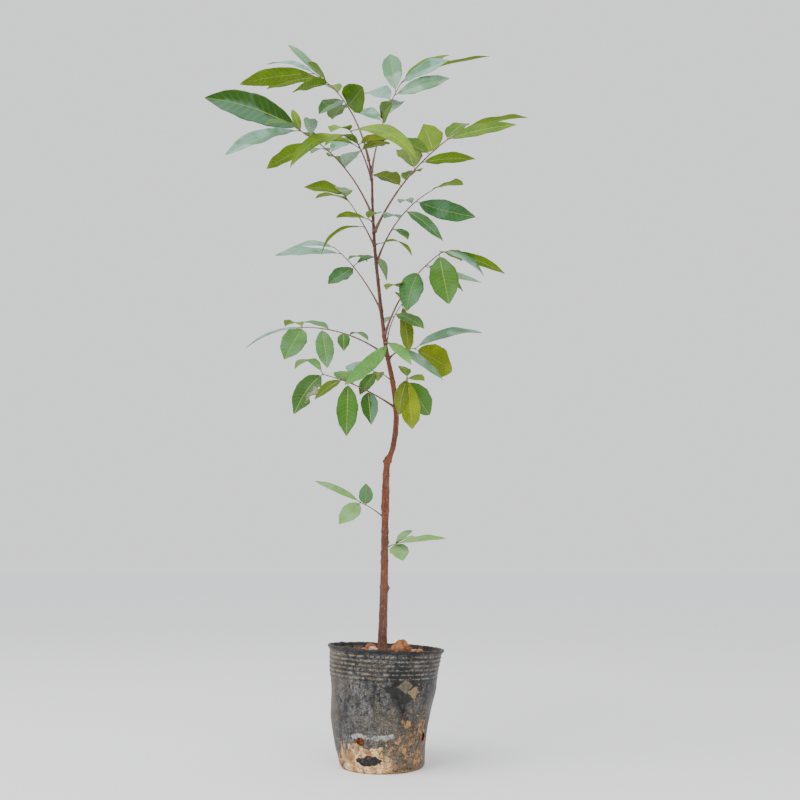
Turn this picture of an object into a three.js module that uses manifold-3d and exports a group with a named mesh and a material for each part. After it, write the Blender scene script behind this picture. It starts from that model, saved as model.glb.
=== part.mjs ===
// A young longan tree, about a metre tall, in a soft black nursery pot. Millimetres, +Z up.
// The origin is the middle of the pot's underside, and the front of the tree looks along -Y.
import * as THREE from 'three';
import { mergeVertices } from 'three/addons/utils/BufferGeometryUtils.js';
import Module from 'manifold-3d';

// Places in the crown are set out as an eye in front of the tree sees them: so far right of the pot's
// middle and so far up, both measured on the upright plane through the trunk, then so far back.
const EYE = new THREE.Vector3(24, -1300, 270);

const CLEAR = 0.3;

// Pot
const POT_HEIGHT = 157;
const POT_FOOT_RADIUS = 57.5;
const POT_RIM_RADIUS = 78.5;
const POT_CORNER = 5;
const POT_CORNER_STEPS = 3;
const INNER_CORNER_STEPS = 2;
const POT_WALL = 1.6;
const POT_FLOOR = 2.5;
const POT_BELLY = 1.6;
const POT_SIDES = 36;
const POT_WALL_SHARES = [0.3, 0.6];
const INNER_WALL_HEIGHTS = [60, 120];
const LIP_OUT = 2.6;
const LIP_HEIGHT = 4;
const RIM_SLOPE_RIGHT = -0.051;
const RIM_SLOPE_BACK = -0.02;
const RIM_SHIFT = 4.4;
const BELLY_SHIFT = -3.4;
const RIDGE_COUNT = 6;
const RIDGE_SPACING = 5.6;
const RIDGE_OUT = 0.8;
const RIDGE_BELOW_RIM = 11;
const DRAIN_COUNT = 4;
const DRAIN_HEIGHT = 41;
const DRAIN_RADIUS = 6.5;
const DRAIN_SIDES = 10;
const DRAIN_FIRST_HEADING = -116;

// Soil and the clods that lie on it
const SOIL_TOP = 149.7;
const SOIL_ROUGHNESS = 2.4;
const SOIL_RINGS = 5;
const SOIL_SEAT_RADIUS = 14;
const SOIL_SEAT_SIDES = 24;
const SOIL_SEAT_TALL = 20;
const SOIL_WALL_GAP = 0.25;
const SOIL_EDGE_DROP = 3;
const CLOD_SUNK_SHARE = 0.2;
const CLOD_ROUGHNESS = 0.16;
const CLODS = [
  { name: 'clod_large', right: 26, back: -40, across: 26, tall: 25, seed: 11 },
  { name: 'clod_left', right: -30, back: -44, across: 15, tall: 11, seed: 12 },
  { name: 'clod_right', right: 50, back: -26, across: 15, tall: 10, seed: 13 },
  { name: 'clod_back', right: -18, back: 42, across: 19, tall: 12, seed: 14 },
];

// Trunk: the bends of its middle line, from the flat cut at the soil to the bud at its tip
const TRUNK_SIDES = 12;
const TRUNK_STEPS = 60;
const TRUNK_TIP_SHARE = 0.99;
const TRUNK_TIP_NARROWING = 0.5;
const TRUNK_BENDS = [
  { up: 150, right: -1, back: 0, thick: 13.2 },
  { up: 240, right: 1.5, back: 2, thick: 11.2 },
  { up: 330, right: 2.5, back: 5, thick: 10.0 },
  { up: 396, right: 4, back: 4, thick: 9.4 },
  { up: 413, right: 5.8, back: 3.4, thick: 9.2 },
  { up: 438, right: 14, back: 2, thick: 8.2 },
  { up: 480, right: 18.5, back: 0, thick: 8.0 },
  { up: 525, right: 14.5, back: -2, thick: 7.6 },
  { up: 582, right: 3.5, back: -4, thick: 6.4 },
  { up: 660, right: -6, back: -3, thick: 5.4 },
  { up: 740, right: -14, back: 0, thick: 5.0 },
  { up: 810, right: -18, back: 3, thick: 4.2 },
  { up: 860, right: -20, back: 3, thick: 3.6 },
  { up: 902, right: -29, back: 1, thick: 2.4 },
];
const FLARE = { thick: 5, tall: 9 };
const KNOT_TALL = 4;
const KNOTS = [
  { up: 238, swell: 0.14 }, { up: 274, swell: 0.08 }, { up: 315, swell: 0.1 }, { up: 346, swell: 0.07 },
  { up: 373, swell: 0.1 }, { up: 396, swell: 0.12 }, { up: 416, swell: 0.2 }, { up: 494, swell: 0.1 },
  { up: 532, swell: 0.12 }, { up: 571, swell: 0.12 }, { up: 640, swell: 0.12 }, { up: 714, swell: 0.14 },
  { up: 763, swell: 0.18 }, { up: 789, swell: 0.14 }, { up: 818, swell: 0.14 }, { up: 860, swell: 0.12 },
];

// Leaf stems and leaflets
const STEM_SIDES = 5;
const STEM_STEPS = 7;
const STEM_TIP_SHARE = 0.45;
const STEM_FOOT_SWELL = 0.5;
const STEM_FOOT_SHARE = 0.125;
const SLOPE_STEP = 0.02;
const LEAF_STEPS = 5;
const LEAF_THICKNESS_SHARE = 0.0125;
const LEAF_LEAST_THICKNESS = 0.9;
const LEAF_STALK_SHARE = 0.07;
const LEAF_STALK_WIDTH = 1.6;
const LEAF_TIP_HALF_WIDTH = 0.35;
const LEAF_SKEW = 1.1;
const LEAF_FULLNESS = 0.6;
const LEAF_FOOT_SHARE = 0.985;
const LEAF_KEEL = 0.16;
const LEAF_TWIST = 14;
const LEAF_ARCH = 0.07;
const LEAF_ARCH_LEAST = 0.8;
const LEAF_ARCH_SPREAD = 0.4;

// Each spray is one compound leaf: `node` is the height on the trunk that it grows from, `end` the seen
// place of its stem's tip as [right, up, back], and `arch` how far the stem's middle stands off the
// straight. Each leaflet starts at a share `from` of the stem, ends at the seen place `tip`, is `wide`
// across, and shows the eye its upper face when `face` is 90, the sky when it is 0.
const SPRAYS = [
  {
    name: 'spray_top_left', colour: 0x8aa83a, seed: 21,
    node: 878, end: [-112, 1027, 84], arch: 20, thick: 3,
    leaflets: [
      { from: 1, tip: [-227, 1008, 56], wide: 32, face: -38 },
      { from: 0.92, tip: [-184, 1000, 154], wide: 28, face: -15 },
      { from: 0.8, tip: [-144, 995, -28], wide: 34, face: -35 },
      { from: 0.9, tip: [-153, 1076, 84], wide: 13, face: 60 },
      { from: 0.84, tip: [-122, 1045, -14], wide: 20, face: 65 },
      { from: 1, tip: [-185, 1042, 168], wide: 26, face: 35 },
      { from: 0.66, tip: [-84, 1003, 182], wide: 26, face: 60 },
      { from: 0.5, tip: [-34, 1003, -42], wide: 46, face: 80 },
      { from: 0.58, tip: [-102, 958, -28], wide: 28, face: 50 },
      { from: 0.53, tip: [-81, 949, 154], wide: 34, face: 50 },
    ],
  },
  {
    name: 'spray_top_right', colour: 0x9fb6a8, seed: 22,
    node: 860, end: [27, 1012, 56], arch: 10, thick: 3,
    leaflets: [
      { from: 0.87, tip: [8, 1060, 70], wide: 32, face: 90 },
      { from: 1, tip: [101, 1049, 0], wide: 28, face: 55 },
      { from: 1, tip: [103, 1058, 154], wide: 26, face: 35 },
      { from: 1, tip: [166, 1056, 84], wide: 22, face: 13 },
      { from: 0.83, tip: [102, 1018, 14], wide: 26, face: 60 },
      { from: 0.54, tip: [13, 976, -84], wide: 28, face: 80 },
      { from: 0.56, tip: [27, 978, 126], wide: 24, face: 55 },
      { from: 0.76, tip: [-28, 993, 140], wide: 38, face: 55 },
      { from: 0.51, tip: [-48, 961, 126], wide: 26, face: 55 },
    ],
  },
  {
    name: 'spray_top_front', colour: 0x9cb43f, seed: 23,
    node: 849, end: [-53, 930, -98], arch: 8, thick: 3,
    leaflets: [
      { from: 1, tip: [-83, 928, -210], wide: 26, face: 20 },
      { from: 1, tip: [50, 883, -182], wide: 26, face: 52, arch: 0.04, rise: 0.09 },
      { from: 0.67, tip: [24, 913, -154], wide: 26, face: -10 },
      { from: 0.55, tip: [9, 910, -104], wide: 22, face: 0 },
      { from: 0.62, tip: [-92, 905, -140], wide: 24, face: 25, arch: 0.15 },
      { from: 0.58, tip: [-145, 869, -140], wide: 24, face: 48, arch: 0.05, rise: 0.15 },
    ],
  },
  {
    name: 'spray_high_left', colour: 0x3f7a35, seed: 24,
    node: 789, end: [-132, 931, -84], arch: 20, thick: 3,
    leaflets: [
      { from: 1, tip: [-281, 985, -112], wide: 40, face: 80, rise: 0.06 },
      { from: 1, tip: [-245, 890, -168], wide: 30, face: 43 },
      { from: 1, tip: [-184, 941, -182], wide: 24, face: 40 },
      { from: 1, tip: [-144, 966, -84], wide: 12, face: 60 },
      { from: 0.9, tip: [-116, 950, -168], wide: 20, face: 60 },
      { from: 0.97, tip: [-110, 916, 0], wide: 20, face: 10 },
      { from: 0.83, tip: [-181, 867, -56], wide: 30, face: -15 },
      { from: 0.48, tip: [-87, 888, 56], wide: 28, face: -20 },
      { from: 0.49, tip: [-42, 895, -154], wide: 26, face: 50 },
      { from: 0.68, tip: [-113, 892, 42], wide: 22, face: 30 },
      { from: 0.68, tip: [-53, 918, 30], wide: 26, face: 40 },
    ],
  },
  {
    name: 'spray_high_right', colour: 0x6f9a34, seed: 25,
    node: 763, end: [98, 916, -56], arch: 14, thick: 3.8,
    leaflets: [
      { from: 1, tip: [205, 940, -84], wide: 24, face: 52 },
      { from: 1, tip: [223, 952, 0], wide: 28, face: 0 },
      { from: 1, tip: [127, 942, 42], wide: 30, face: 30 },
      { from: 0.86, tip: [60, 941, 28], wide: 44, face: -80 },
      { from: 0.82, tip: [19, 914, -98], wide: 28, face: -15 },
      { from: 0.64, tip: [32, 901, 70], wide: 40, face: 40 },
      { from: 0.72, tip: [140, 883, -28], wide: 26, face: -18 },
      { from: 0.46, tip: [-14, 859, -112], wide: 30, face: -22 },
      { from: 0.51, tip: [55, 863, 84], wide: 30, face: -25 },
    ],
  },
  {
    name: 'spray_upper_left', colour: 0x8fac3d, seed: 26,
    node: 741, end: [-61, 824, 126], arch: 4, thick: 2.8,
    leaflets: [
      { from: 1, tip: [-123, 837, 84], wide: 30, face: -16, rise: 0.04 },
      { from: 0.85, tip: [-105, 819, 196], wide: 24, face: 5 },
      { from: 0.95, tip: [-58, 832, 210], wide: 22, face: 10 },
      { from: 1, tip: [-71, 836, 28], wide: 22, face: 50 },
      { from: 0.33, tip: [-95, 730, 42], wide: 20, face: 5, arch: 0.2 },
    ],
  },
  {
    name: 'spray_upper_small', colour: 0x8fac3d, seed: 27,
    node: 780, end: [-26, 786, -12], arch: 1, thick: 2.4,
    leaflets: [
      { from: 1, tip: [-73, 788, 30], wide: 22, face: -12 },
      { from: 0.9, tip: [-8, 795, -100], wide: 20, face: 20 },
    ],
  },
  {
    name: 'spray_middle_right', colour: 0x3c7534, seed: 28,
    node: 714, end: [75, 833, 70], arch: 15, thick: 3,
    leaflets: [
      { from: 0.77, tip: [139, 789, 14], wide: 34, face: 66, rise: -0.05 },
      { from: 0.61, tip: [89, 751, -28], wide: 20, face: 56, arch: 0.14, rise: -0.02 },
      { from: 1, tip: [121, 841, 154], wide: 30, face: -20 },
      { from: 0.36, tip: [36, 753, -56], wide: 20, face: 8 },
      { from: 0.72, tip: [24, 811, 140], wide: 22, face: 40 },
      { from: 0.5, tip: [0, 787, -70], wide: 22, face: 45 },
    ],
  },
  {
    name: 'spray_middle_small', colour: 0x88a640, seed: 29,
    node: 744, end: [-4, 747, -8], arch: 1, thick: 2.2,
    leaflets: [
      { from: 1, tip: [42, 727, -42], wide: 18, face: 5, arch: 0.24 },
    ],
  },
  {
    name: 'spray_middle_left', colour: 0x9db9a2, seed: 30,
    node: 640, end: [-76, 741, 98], arch: 8, thick: 2.8,
    leaflets: [
      { from: 1, tip: [-147, 737, 182], wide: 26, face: 40 },
      { from: 0.86, tip: [-165, 728, 70], wide: 28, face: 38 },
      { from: 0.6, tip: [-84, 683, 14], wide: 26, face: 60 },
      { from: 0.74, tip: [-25, 718, 168], wide: 16, face: 12 },
      { from: 0.62, tip: [4, 688, 154], wide: 22, face: 35, arch: 0.25 },
    ],
  },
  {
    name: 'spray_low_right', colour: 0x4c8a3e, seed: 31,
    node: 601, end: [90, 735, -84], arch: 18, thick: 3,
    leaflets: [
      { from: 0.7, tip: [34, 641, -84], wide: 34, face: 78, rise: 0.07 },
      { from: 0.96, tip: [97, 652, -112], wide: 40, face: 80 },
      { from: 1, tip: [150, 695, -42], wide: 24, face: 45, arch: 0.15 },
      { from: 1, tip: [182, 699, -28], wide: 20, face: -25 },
      { from: 0.97, tip: [117, 719, 42], wide: 24, face: -10 },
      { from: 0.47, tip: [3, 674, -140], wide: 22, face: -5 },
      { from: 0.78, tip: [146, 685, 40], wide: 13, face: -35, rise: -0.06 },
      { from: 0.8, tip: [119, 671, 0], wide: 26, face: 50 },
    ],
  },
  {
    name: 'spray_low_front', colour: 0x86ab62, seed: 32,
    node: 591, end: [7, 592, -20], arch: 1, thick: 2.8,
    leaflets: [
      { from: 1, tip: [-58, 529, -70], wide: 23, face: 60, rise: -0.06 },
      { from: 0.95, tip: [41, 559, -112], wide: 17, face: 55 },
      { from: 1, tip: [87, 537, -42], wide: 17, face: 42 },
    ],
  },
  {
    name: 'spray_low_inner', colour: 0x84a03c, seed: 33,
    node: 575, end: [29, 655, -12], arch: 8, thick: 2.4,
    leaflets: [
      { from: 1, tip: [24, 668, 70], wide: 20, face: -20 },
      { from: 0.98, tip: [37, 579, -56], wide: 20, face: -60 },
      { from: 0.7, tip: [2, 623, 40], wide: 18, face: 40 },
      { from: 0.76, tip: [60, 614, -98], wide: 22, face: 55 },
    ],
  },
  {
    name: 'spray_low_left', colour: 0x5a8f4a, seed: 34,
    node: 571, end: [-123, 616, -42], arch: 12, thick: 2.8,
    leaflets: [
      { from: 1, tip: [-147, 567, -98], wide: 34, face: 75 },
      { from: 0.79, tip: [-83, 554, -70], wide: 26, face: 70 },
      { from: 0.55, tip: [-59, 580, -84], wide: 18, face: 60 },
      { from: 0.48, tip: [-23, 596, -98], wide: 14, face: 15, arch: 0.1 },
      { from: 0.7, tip: [-123, 624, 56], wide: 20, face: 30, arch: 0.05 },
      { from: 1, tip: [-147, 618, 70], wide: 22, face: -15 },
      { from: 1, tip: [-205, 584, -28], wide: 16, face: 27, arch: 0.12 },
    ],
  },
  {
    name: 'spray_low_back', colour: 0xa2bb3a, seed: 35,
    node: 566, end: [46, 583, 28], arch: 6, thick: 2.8,
    leaflets: [
      { from: 1, tip: [147, 607, 70], wide: 24, face: 40, arch: 0.1, rise: 0.03 },
      { from: 1, tip: [101, 550, -42], wide: 44, face: -75 },
    ],
  },
  {
    name: 'spray_lower_inner', colour: 0x6c9a66, seed: 36,
    node: 532, end: [-12, 548, 42], arch: 3, thick: 2.2,
    leaflets: [
      { from: 1, tip: [-56, 557, 112], wide: 30, face: 55 },
      { from: 1, tip: [-35, 514, 0], wide: 20, face: 50 },
      { from: 0.8, tip: [-9, 534, 126], wide: 18, face: -10 },
    ],
  },
  {
    name: 'spray_lower_left', colour: 0x4f7d43, seed: 37,
    node: 494, end: [-91, 545, -84], arch: 6, thick: 2.8,
    leaflets: [
      { from: 1, tip: [-131, 485, -126], wide: 30, face: 75, rise: 0.06 },
      { from: 1, tip: [-131, 553, 0], wide: 20, face: 20, arch: 0.22 },
      { from: 0.76, tip: [-101, 507, 14], wide: 16, face: -50 },
      { from: 0.68, tip: [-54, 453, -84], wide: 30, face: 70 },
      { from: 0.41, tip: [-18, 470, -98], wide: 24, face: 60 },
      { from: 0.6, tip: [-68, 549, 14], wide: 28, face: 50 },
    ],
  },
  {
    name: 'spray_lower_right', colour: 0x7d9a3c, seed: 38,
    node: 469, end: [35, 541, -28], arch: 4, thick: 2.6,
    leaflets: [
      { from: 1, tip: [42, 463, -70], wide: 28, face: -75 },
      { from: 1, tip: [22, 484, -84], wide: 22, face: -60 },
      { from: 1, tip: [26, 557, 30], wide: 18, face: -30 },
      { from: 0.97, tip: [60, 535, -90], wide: 18, face: 55 },
      { from: 0.93, tip: [67, 484, -14], wide: 36, face: 75 },
    ],
  },
  {
    name: 'spray_stem_left', colour: 0x86b077, seed: 39,
    node: 334, end: [-33, 357, -28], arch: 2, thick: 2.2,
    leaflets: [
      { from: 1, tip: [-99, 388, 28], wide: 15, face: 35, arch: 0.03 },
      { from: 0.8, tip: [-25, 384, -50], wide: 20, face: 65 },
      { from: 1, tip: [-63, 326, -70], wide: 24, face: 75 },
    ],
  },
  {
    name: 'spray_stem_right', colour: 0x86b077, seed: 40,
    node: 291, end: [18, 298, -28], arch: 1, thick: 2.2,
    leaflets: [
      { from: 1, tip: [41, 318, 28], wide: 14, face: 20 },
      { from: 1, tip: [89, 306, -28], wide: 20, face: 25 },
      { from: 1, tip: [45, 306, -84], wide: 18, face: 40 },
      { from: 1, tip: [28, 275, -76], wide: 26, face: 60 },
    ],
  },
];

const wasm = await Module();
wasm.setup();

const UP = new THREE.Vector3(0, 0, 1);

// Park and Miller's generator: the same seed always deals out the same shares between 0 and 1
function seeded(seed) {
  const largest = 2147483647;
  let state = seed * 7919;
  return () => {
    state = (state * 48271) % largest;
    return state / largest;
  };
}

function paint(colour, roughness) {
  return new THREE.MeshStandardMaterial({ color: colour, roughness, metalness: 0 });
}

function solidOf(geometry) {
  const bare = geometry.clone();
  bare.deleteAttribute('normal');
  bare.deleteAttribute('uv');
  const merged = mergeVertices(bare, 1e-4);
  const vertProperties = new Float32Array(merged.attributes.position.array);
  const corners = merged.index.array;
  const kept = [];
  for (let i = 0; i < corners.length; i += 3) {
    const [a, b, c] = [corners[i], corners[i + 1], corners[i + 2]];
    if (a !== b && b !== c && c !== a) kept.push(a, b, c);
  }
  const triVerts = new Uint32Array(kept);
  return new wasm.Manifold(new wasm.Mesh({ numProp: 3, vertProperties, triVerts }));
}

function geometryOf(solid) {
  const { vertProperties, triVerts } = solid.getMesh();
  const geometry = new THREE.BufferGeometry();
  geometry.setAttribute('position', new THREE.Float32BufferAttribute(vertProperties, 3));
  geometry.setIndex(new THREE.Uint32BufferAttribute(triVerts, 1));
  const faceted = geometry.toNonIndexed();
  faceted.computeVertexNormals();
  return faceted;
}

function biggestPiece(solid) {
  return solid.decompose().sort((a, b) => b.volume() - a.volume())[0];
}

function named(name, geometry, material) {
  const mesh = new THREE.Mesh(geometry, material);
  mesh.name = name;
  return mesh;
}

// The real place of a point that the eye sees at [right, up] on the trunk's plane, but so far back
function seen([right, up, back]) {
  const onPlane = new THREE.Vector3(right, 0, up);
  return onPlane.sub(EYE).multiplyScalar(1 + back / -EYE.y).add(EYE);
}

// A unit cylinder bent along a line: section(share) gives the middle there and the two half-axes
function limb(sides, steps, section) {
  const body = new THREE.CylinderGeometry(1, 1, 1, sides, steps);
  const spots = body.attributes.position;
  const spot = new THREE.Vector3();
  for (let i = 0; i < spots.count; i += 1) {
    spot.fromBufferAttribute(spots, i);
    const { middle, across, through, keel } = section(spot.y + 0.5);
    const point = middle.clone().addScaledVector(across, spot.x).addScaledVector(through, spot.z);
    if (keel) point.addScaledVector(keel, 1 - Math.abs(spot.x));
    spots.setXYZ(i, point.x, point.y, point.z);
  }
  return solidOf(body);
}

// Trunk

function betweenBends(up) {
  const last = TRUNK_BENDS.length - 1;
  let i = 0;
  while (i < last - 1 && up > TRUNK_BENDS[i + 1].up) i += 1;
  const around = [Math.max(i - 1, 0), i, i + 1, Math.min(i + 2, last)].map((k) => TRUNK_BENDS[k]);
  const share = (up - around[1].up) / (around[2].up - around[1].up);
  const smooth = (key) => {
    const [a, b, c, d] = around.map((bend) => bend[key]);
    const run = around[2].up - around[1].up;
    const slopeIn = (c - a) * run / (around[2].up - around[0].up);
    const slopeOut = (d - b) * run / (around[3].up - around[1].up);
    const s2 = share * share;
    const s3 = s2 * share;
    return b * (2 * s3 - 3 * s2 + 1) + slopeIn * (s3 - 2 * s2 + share)
      + c * (3 * s2 - 2 * s3) + slopeOut * (s3 - s2);
  };
  return { right: smooth('right'), back: smooth('back'), thick: smooth('thick') };
}

function trunkMiddle(up) {
  const { right, back } = betweenBends(up);
  return new THREE.Vector3(right, back, up);
}

function trunkRadius(up) {
  const flare = FLARE.thick * Math.exp(-(up - TRUNK_BENDS[0].up) / FLARE.tall);
  let swell = 1;
  for (const knot of KNOTS) swell += knot.swell * Math.exp(-(((up - knot.up) / KNOT_TALL) ** 2));
  return (betweenBends(up).thick * swell + flare) / 2;
}

function trunkSolid(extra) {
  const low = TRUNK_BENDS[0].up;
  const high = TRUNK_BENDS[TRUNK_BENDS.length - 1].up;
  return limb(TRUNK_SIDES, TRUNK_STEPS, (share) => {
    const up = low + (high - low) * share;
    const tip = share > TRUNK_TIP_SHARE ? TRUNK_TIP_NARROWING : 1;
    const radius = trunkRadius(up) * tip + extra;
    return {
      middle: trunkMiddle(up),
      across: new THREE.Vector3(0, radius, 0),
      through: new THREE.Vector3(radius, 0, 0),
    };
  });
}

// Sprays

// A line whose middle stands off its straight chord, by `lift` towards `face` and by `rise` upwards
function arched(start, end, lift, face, rise = 0) {
  const chord = end.clone().sub(start);
  const square = (way) => way.clone().addScaledVector(chord, -way.dot(chord) / chord.lengthSq());
  const bulge = square(face).setLength(4 * lift).addScaledVector(square(UP).normalize(), 4 * rise);
  return (share) => start.clone().addScaledVector(chord, share).addScaledVector(bulge, share * (1 - share));
}

function alongAt(line, share) {
  const before = line(Math.max(share - SLOPE_STEP, 0));
  return line(Math.min(share + SLOPE_STEP, 1)).sub(before).normalize();
}

function stemSolid(line, thick) {
  return limb(STEM_SIDES, STEM_STEPS, (share) => {
    const along = alongAt(line, share);
    const across = new THREE.Vector3().crossVectors(along, new THREE.Vector3(0, 1, 0)).normalize();
    const through = new THREE.Vector3().crossVectors(across, along);
    const foot = 1 + STEM_FOOT_SWELL * Math.exp(-((share / STEM_FOOT_SHARE) ** 2));
    const radius = thick / 2 * (1 - (1 - STEM_TIP_SHARE) * share) * foot;
    return {
      middle: line(share),
      across: across.multiplyScalar(radius),
      through: through.multiplyScalar(radius),
    };
  });
}

// Half width of a leaflet at a share of its length: a short stalk, then a long pointed oval
function leafHalfWidth(share, wide) {
  if (share <= LEAF_STALK_SHARE) return LEAF_STALK_WIDTH / 2;
  const blade = (share - LEAF_STALK_SHARE) / (1 - LEAF_STALK_SHARE);
  const oval = Math.sin(Math.PI * Math.min(blade ** LEAF_SKEW, 1)) ** LEAF_FULLNESS;
  return Math.max(wide / 2 * oval, LEAF_STALK_WIDTH / 2 * (1 - blade) + LEAF_TIP_HALF_WIDTH);
}

function leafSolid(start, leaflet, draw) {
  const end = seen(leaflet.tip);
  const chord = end.clone().sub(start);
  const long = chord.length();
  const toEye = EYE.clone().sub(start).normalize();
  const turn = THREE.MathUtils.degToRad(leaflet.face);
  const face = UP.clone().multiplyScalar(Math.cos(turn)).addScaledVector(toEye, Math.sin(turn));
  const arch = (leaflet.arch ?? LEAF_ARCH) * (LEAF_ARCH_LEAST + LEAF_ARCH_SPREAD * draw());
  const line = arched(start, end, arch * long, face, (leaflet.rise ?? 0) * long);
  const twist = THREE.MathUtils.degToRad(LEAF_TWIST * (2 * draw() - 1));
  const thin = Math.max(long * LEAF_THICKNESS_SHARE, LEAF_LEAST_THICKNESS);
  return limb(4, LEAF_STEPS, (share) => {
    const along = alongAt(line, share);
    const up = face.clone().addScaledVector(along, -face.dot(along)).normalize();
    up.applyAxisAngle(along, twist * (share - 0.5));
    const across = new THREE.Vector3().crossVectors(along, up);
    const half = leafHalfWidth(share, leaflet.wide);
    return {
      middle: line(share),
      across: across.multiplyScalar(half),
      through: up.clone().multiplyScalar(thin / 2),
      keel: up.clone().multiplyScalar(-LEAF_KEEL * half),
    };
  });
}

function spraySolid(spray, cleared) {
  const draw = seeded(spray.seed);
  const start = trunkMiddle(spray.node);
  const line = arched(start, seen(spray.end), spray.arch, UP);
  let solid = stemSolid(line, spray.thick);
  for (const leaflet of spray.leaflets) {
    solid = solid.add(leafSolid(line(leaflet.from * LEAF_FOOT_SHARE), leaflet, draw));
  }
  return biggestPiece(solid.subtract(cleared));
}

// Pot

// Where a point of the straight, upright pot lies on the real one, which sags and leans a little
function sagged(x, y, z) {
  const share = z / POT_HEIGHT;
  const shift = RIM_SHIFT * share ** 3 + BELLY_SHIFT * Math.sin(Math.PI * Math.min(share * 1.5, 1));
  const slope = (RIM_SLOPE_RIGHT * x + RIM_SLOPE_BACK * y) * share ** 2;
  return new THREE.Vector3(x + shift, y, z + slope);
}

function potRadius(up) {
  const share = up / POT_HEIGHT;
  const straight = POT_FOOT_RADIUS + (POT_RIM_RADIUS - POT_FOOT_RADIUS) * share;
  return straight + POT_BELLY * Math.sin(Math.PI * share);
}

function turned(profile, place) {
  const points = profile.map(([radius, up]) => new THREE.Vector2(radius, up));
  const body = new THREE.LatheGeometry(points, POT_SIDES);
  const spots = body.attributes.position;
  for (let i = 0; i < spots.count; i += 1) {
    const point = place(spots.getZ(i), spots.getX(i), spots.getY(i));
    spots.setXYZ(i, point.x, point.y, point.z);
  }
  return solidOf(body);
}

function cornerProfile(radius, floor, steps) {
  const profile = [];
  for (let i = 0; i <= steps; i += 1) {
    const turn = Math.PI / 2 * i / steps;
    const up = floor + POT_CORNER * (1 - Math.cos(turn));
    profile.push([radius - POT_CORNER * (1 - Math.sin(turn)), up]);
  }
  return profile;
}

function potProfile() {
  const profile = [[0, 0], ...cornerProfile(potRadius(POT_CORNER), 0, POT_CORNER_STEPS)];
  const lowestRidge = POT_HEIGHT - RIDGE_BELOW_RIM - RIDGE_SPACING * (RIDGE_COUNT - 1);
  for (const share of POT_WALL_SHARES) {
    const up = lowestRidge * share;
    profile.push([potRadius(up), up]);
  }
  for (let i = 0; i < RIDGE_COUNT; i += 1) {
    const up = lowestRidge + RIDGE_SPACING * i;
    profile.push([potRadius(up) + RIDGE_OUT, up], [potRadius(up), up + RIDGE_SPACING / 2]);
  }
  const rim = potRadius(POT_HEIGHT);
  profile.push([rim, POT_HEIGHT - LIP_HEIGHT - 1], [rim + LIP_OUT, POT_HEIGHT - LIP_HEIGHT]);
  profile.push([rim + LIP_OUT, POT_HEIGHT - 1], [rim + LIP_OUT - 1, POT_HEIGHT]);
  profile.push([rim - POT_WALL, POT_HEIGHT]);
  for (const up of INNER_WALL_HEIGHTS.toReversed()) profile.push([potRadius(up) - POT_WALL, up]);
  const inside = cornerProfile(potRadius(POT_CORNER) - POT_WALL, POT_FLOOR, INNER_CORNER_STEPS);
  profile.push(...inside.reverse(), [0, POT_FLOOR]);
  return profile;
}

function drainHole(heading) {
  const hole = new THREE.CylinderGeometry(DRAIN_RADIUS, DRAIN_RADIUS, POT_FOOT_RADIUS, DRAIN_SIDES);
  hole.rotateZ(Math.PI / 2);
  hole.translate(POT_FOOT_RADIUS, 0, DRAIN_HEIGHT);
  hole.rotateZ(THREE.MathUtils.degToRad(heading));
  return solidOf(hole);
}

function potSolid() {
  let pot = turned(potProfile(), sagged);
  for (let i = 0; i < DRAIN_COUNT; i += 1) {
    pot = pot.subtract(drainHole(DRAIN_FIRST_HEADING + 360 / DRAIN_COUNT * i));
  }
  return pot;
}

// Soil and clods

function lumps(x, y) {
  return Math.sin(x * 0.23 + 1.3) * Math.cos(y * 0.19 - 0.4) + 0.6 * Math.sin(x * 0.11 - y * 0.31);
}

function soilSolid(raised) {
  const floor = POT_FLOOR + CLEAR;
  const inset = POT_WALL + CLEAR + SOIL_WALL_GAP;
  const corner = cornerProfile(potRadius(POT_CORNER) - inset, floor, INNER_CORNER_STEPS);
  const profile = [[0, floor], ...corner];
  const edge = SOIL_TOP - SOIL_EDGE_DROP;
  for (const up of [...INNER_WALL_HEIGHTS, edge]) profile.push([potRadius(up) - inset, up]);
  for (let i = SOIL_RINGS - 1; i >= 0; i -= 1) {
    const share = i / SOIL_RINGS;
    profile.push([(potRadius(edge) - inset) * share, SOIL_TOP - SOIL_EDGE_DROP * share ** 2 + raised]);
  }
  const body = turned(profile, (x, y, z) => {
    const point = sagged(x, y, z);
    if (z > edge + 0.01) point.z += SOIL_ROUGHNESS * lumps(x, y);
    return point;
  });
  const seat = new THREE.CylinderGeometry(
    SOIL_SEAT_RADIUS, SOIL_SEAT_RADIUS, SOIL_SEAT_TALL, SOIL_SEAT_SIDES,
  );
  seat.rotateX(Math.PI / 2);
  seat.translate(TRUNK_BENDS[0].right, TRUNK_BENDS[0].back, SOIL_TOP + SOIL_SEAT_TALL / 2);
  return body.subtract(solidOf(seat));
}

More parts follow.
